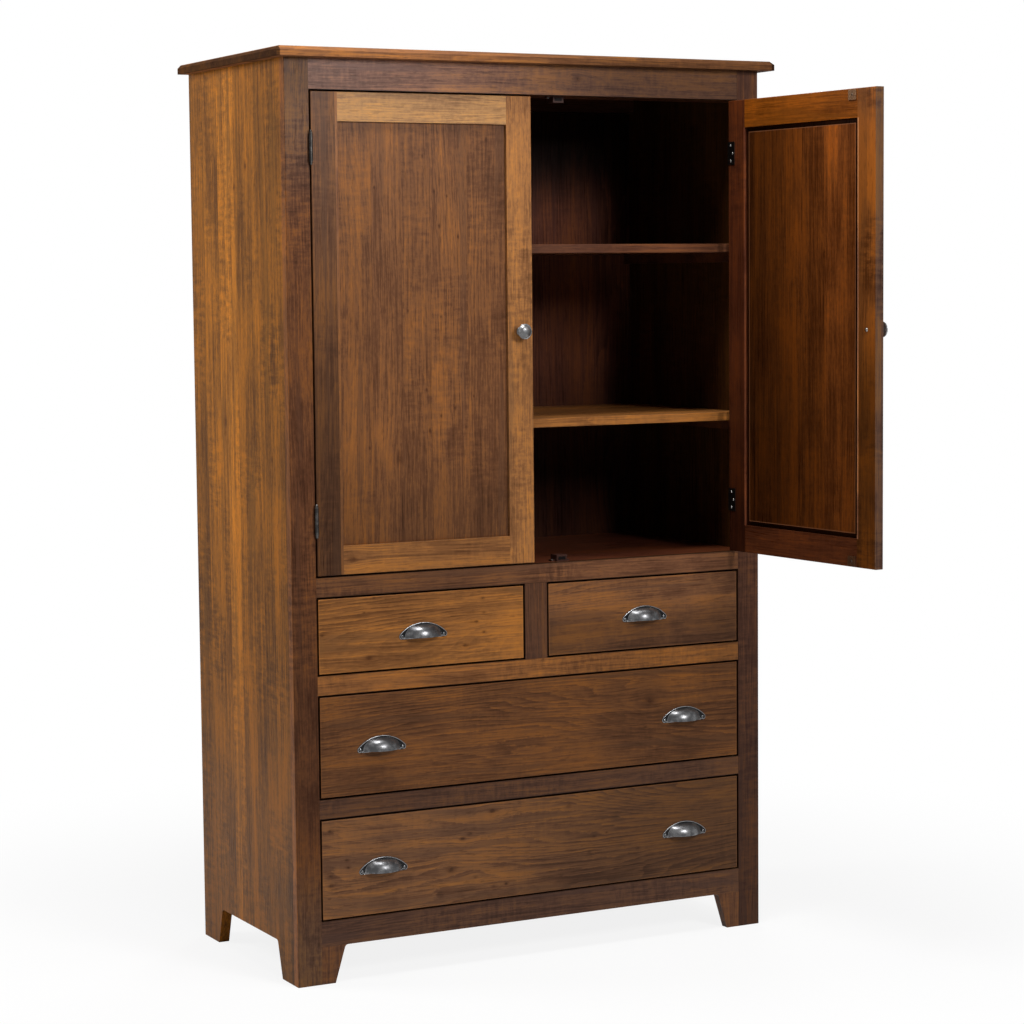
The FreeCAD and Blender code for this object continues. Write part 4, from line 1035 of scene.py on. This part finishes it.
level_forward = Vector((math.sin(CAMERA_YAW), math.cos(CAMERA_YAW), 0.0))
level_right = Vector((math.cos(CAMERA_YAW), -math.sin(CAMERA_YAW), 0.0))
view_forward = level_forward * math.cos(CAMERA_PITCH) - Vector(UPRIGHT) * math.sin(CAMERA_PITCH)
level_up = level_right.cross(view_forward)
view_right = level_right * math.cos(CAMERA_ROLL) + level_up * math.sin(CAMERA_ROLL)
view_up = level_up * math.cos(CAMERA_ROLL) - level_right * math.sin(CAMERA_ROLL)
view = Matrix((view_right, view_up, -view_forward)).transposed()

camera_data = bpy.data.cameras.new("camera")
camera_data.lens = CAMERA_LENS
camera_data.sensor_width = CAMERA_SENSOR
camera_data.clip_end = CAMERA_REACH
camera = bpy.data.objects.new("camera", camera_data)
camera.matrix_world = Matrix.Translation(CAMERA_PLACE) @ view.to_4x4()
bpy.context.scene.collection.objects.link(camera)
bpy.context.scene.camera = camera


# Light

def softbox(name, place, target, width, height, watts):
    lamp = bpy.data.lights.new(name, "AREA")
    lamp.shape = "RECTANGLE"
    lamp.size = width
    lamp.size_y = height
    lamp.energy = watts
    made = bpy.data.objects.new(name, lamp)
    made.location = place
    made.rotation_euler = (Vector(target) - Vector(place)).to_track_quat("-Z", "Y").to_euler()
    bpy.context.scene.collection.objects.link(made)


softbox("front_softbox", (0.75, -3.6, 2.6), (0.0, -0.2, 1.0), width=0.9, height=1.0, watts=86.0)
softbox("left_softbox", (-2.2, 0.9, 2.2), (-0.53, 0.05, 1.25), width=0.9, height=1.3, watts=36.0)
softbox("top_softbox", (-0.35, -0.75, 3.5), (0.0, -0.4, 1.0), width=0.9, height=0.8, watts=56.0)
softbox("back_softbox", (1.9, 2.6, 2.2), (0.2, 0.0, 0.9), width=1.2, height=1.2, watts=40.0)

WHITE = (1.0, 1.0, 1.0, 1.0)
FILL_LIGHT = 0.06
WHITE_IN_METAL = 0.45
FLOOR_HALF = 12.0
FLOOR_GREYS = ((0.86, 0.86, 0.86, 1.0), (0.9, 0.9, 0.9, 1.0))
# How white the floor shows beside the case, and between which distances it clears to full white.
FLOOR_NEAR = 0.86
FLOOR_CLEARS = (0.7, 2.0)


def seen_white(finish):
    """1 for rays that look at the surroundings, directly, in metal or through glass."""
    path = finish.node("ShaderNodeLightPath", output=None)
    named = {value.socket.name: value for value in path}
    seen = named["Is Camera Ray"] + named["Is Glossy Ray"] * WHITE_IN_METAL + named["Is Transmission Ray"]
    return finish.math("MINIMUM", seen, 1.0)


class Surroundings(Finish):
    """The world's own node tree."""

    def __init__(self):
        world = bpy.data.worlds.new("white_studio")
        bpy.context.scene.world = world
        world.use_nodes = True
        self.tree = world.node_tree
        self.tree.nodes.clear()


studio = Surroundings()
fill = studio.node("ShaderNodeBackground", None, {"Color": WHITE, "Strength": FILL_LIGHT})
white = studio.node("ShaderNodeBackground", None, {"Color": WHITE, "Strength": 1.0})
shown = studio.node("ShaderNodeMixShader", None, {0: seen_white(studio), 1: fill, 2: white})
studio.node("ShaderNodeOutputWorld", None, {"Surface": shown}, None)

floor_finish = Finish("pale_floor")
floor_place = floor_finish.place()
from_middle = floor_finish.node("ShaderNodeVectorMath", {"operation": "LENGTH"}, {0: floor_place}, 1)
clear = FLOOR_NEAR + floor_finish.smooth(from_middle, *FLOOR_CLEARS) * (1.0 - FLOOR_NEAR)
floor_colour = floor_finish.mix(floor_finish.noise(floor_place, even(3.0)), *FLOOR_GREYS)
matt = floor_finish.node("ShaderNodeBsdfDiffuse", None, {"Color": floor_colour})
glow = floor_finish.node("ShaderNodeEmission", None, {"Color": WHITE, "Strength": 1.0})
mixed = floor_finish.node("ShaderNodeMixShader", None, {0: seen_white(floor_finish) * clear, 1: matt, 2: glow})
floor_finish.node("ShaderNodeOutputMaterial", None, {"Surface": mixed}, None)

floor_shape = bmesh.new()
bmesh.ops.create_grid(floor_shape, x_segments=2, y_segments=2, size=FLOOR_HALF)
floor_mesh = bpy.data.meshes.new("floor")
floor_shape.to_mesh(floor_mesh)
floor_shape.free()
floor_mesh.materials.append(floor_finish.material)
floor = bpy.data.objects.new("floor", floor_mesh)
bpy.context.scene.collection.objects.link(floor)

bpy.context.scene.view_settings.view_transform = "Standard"
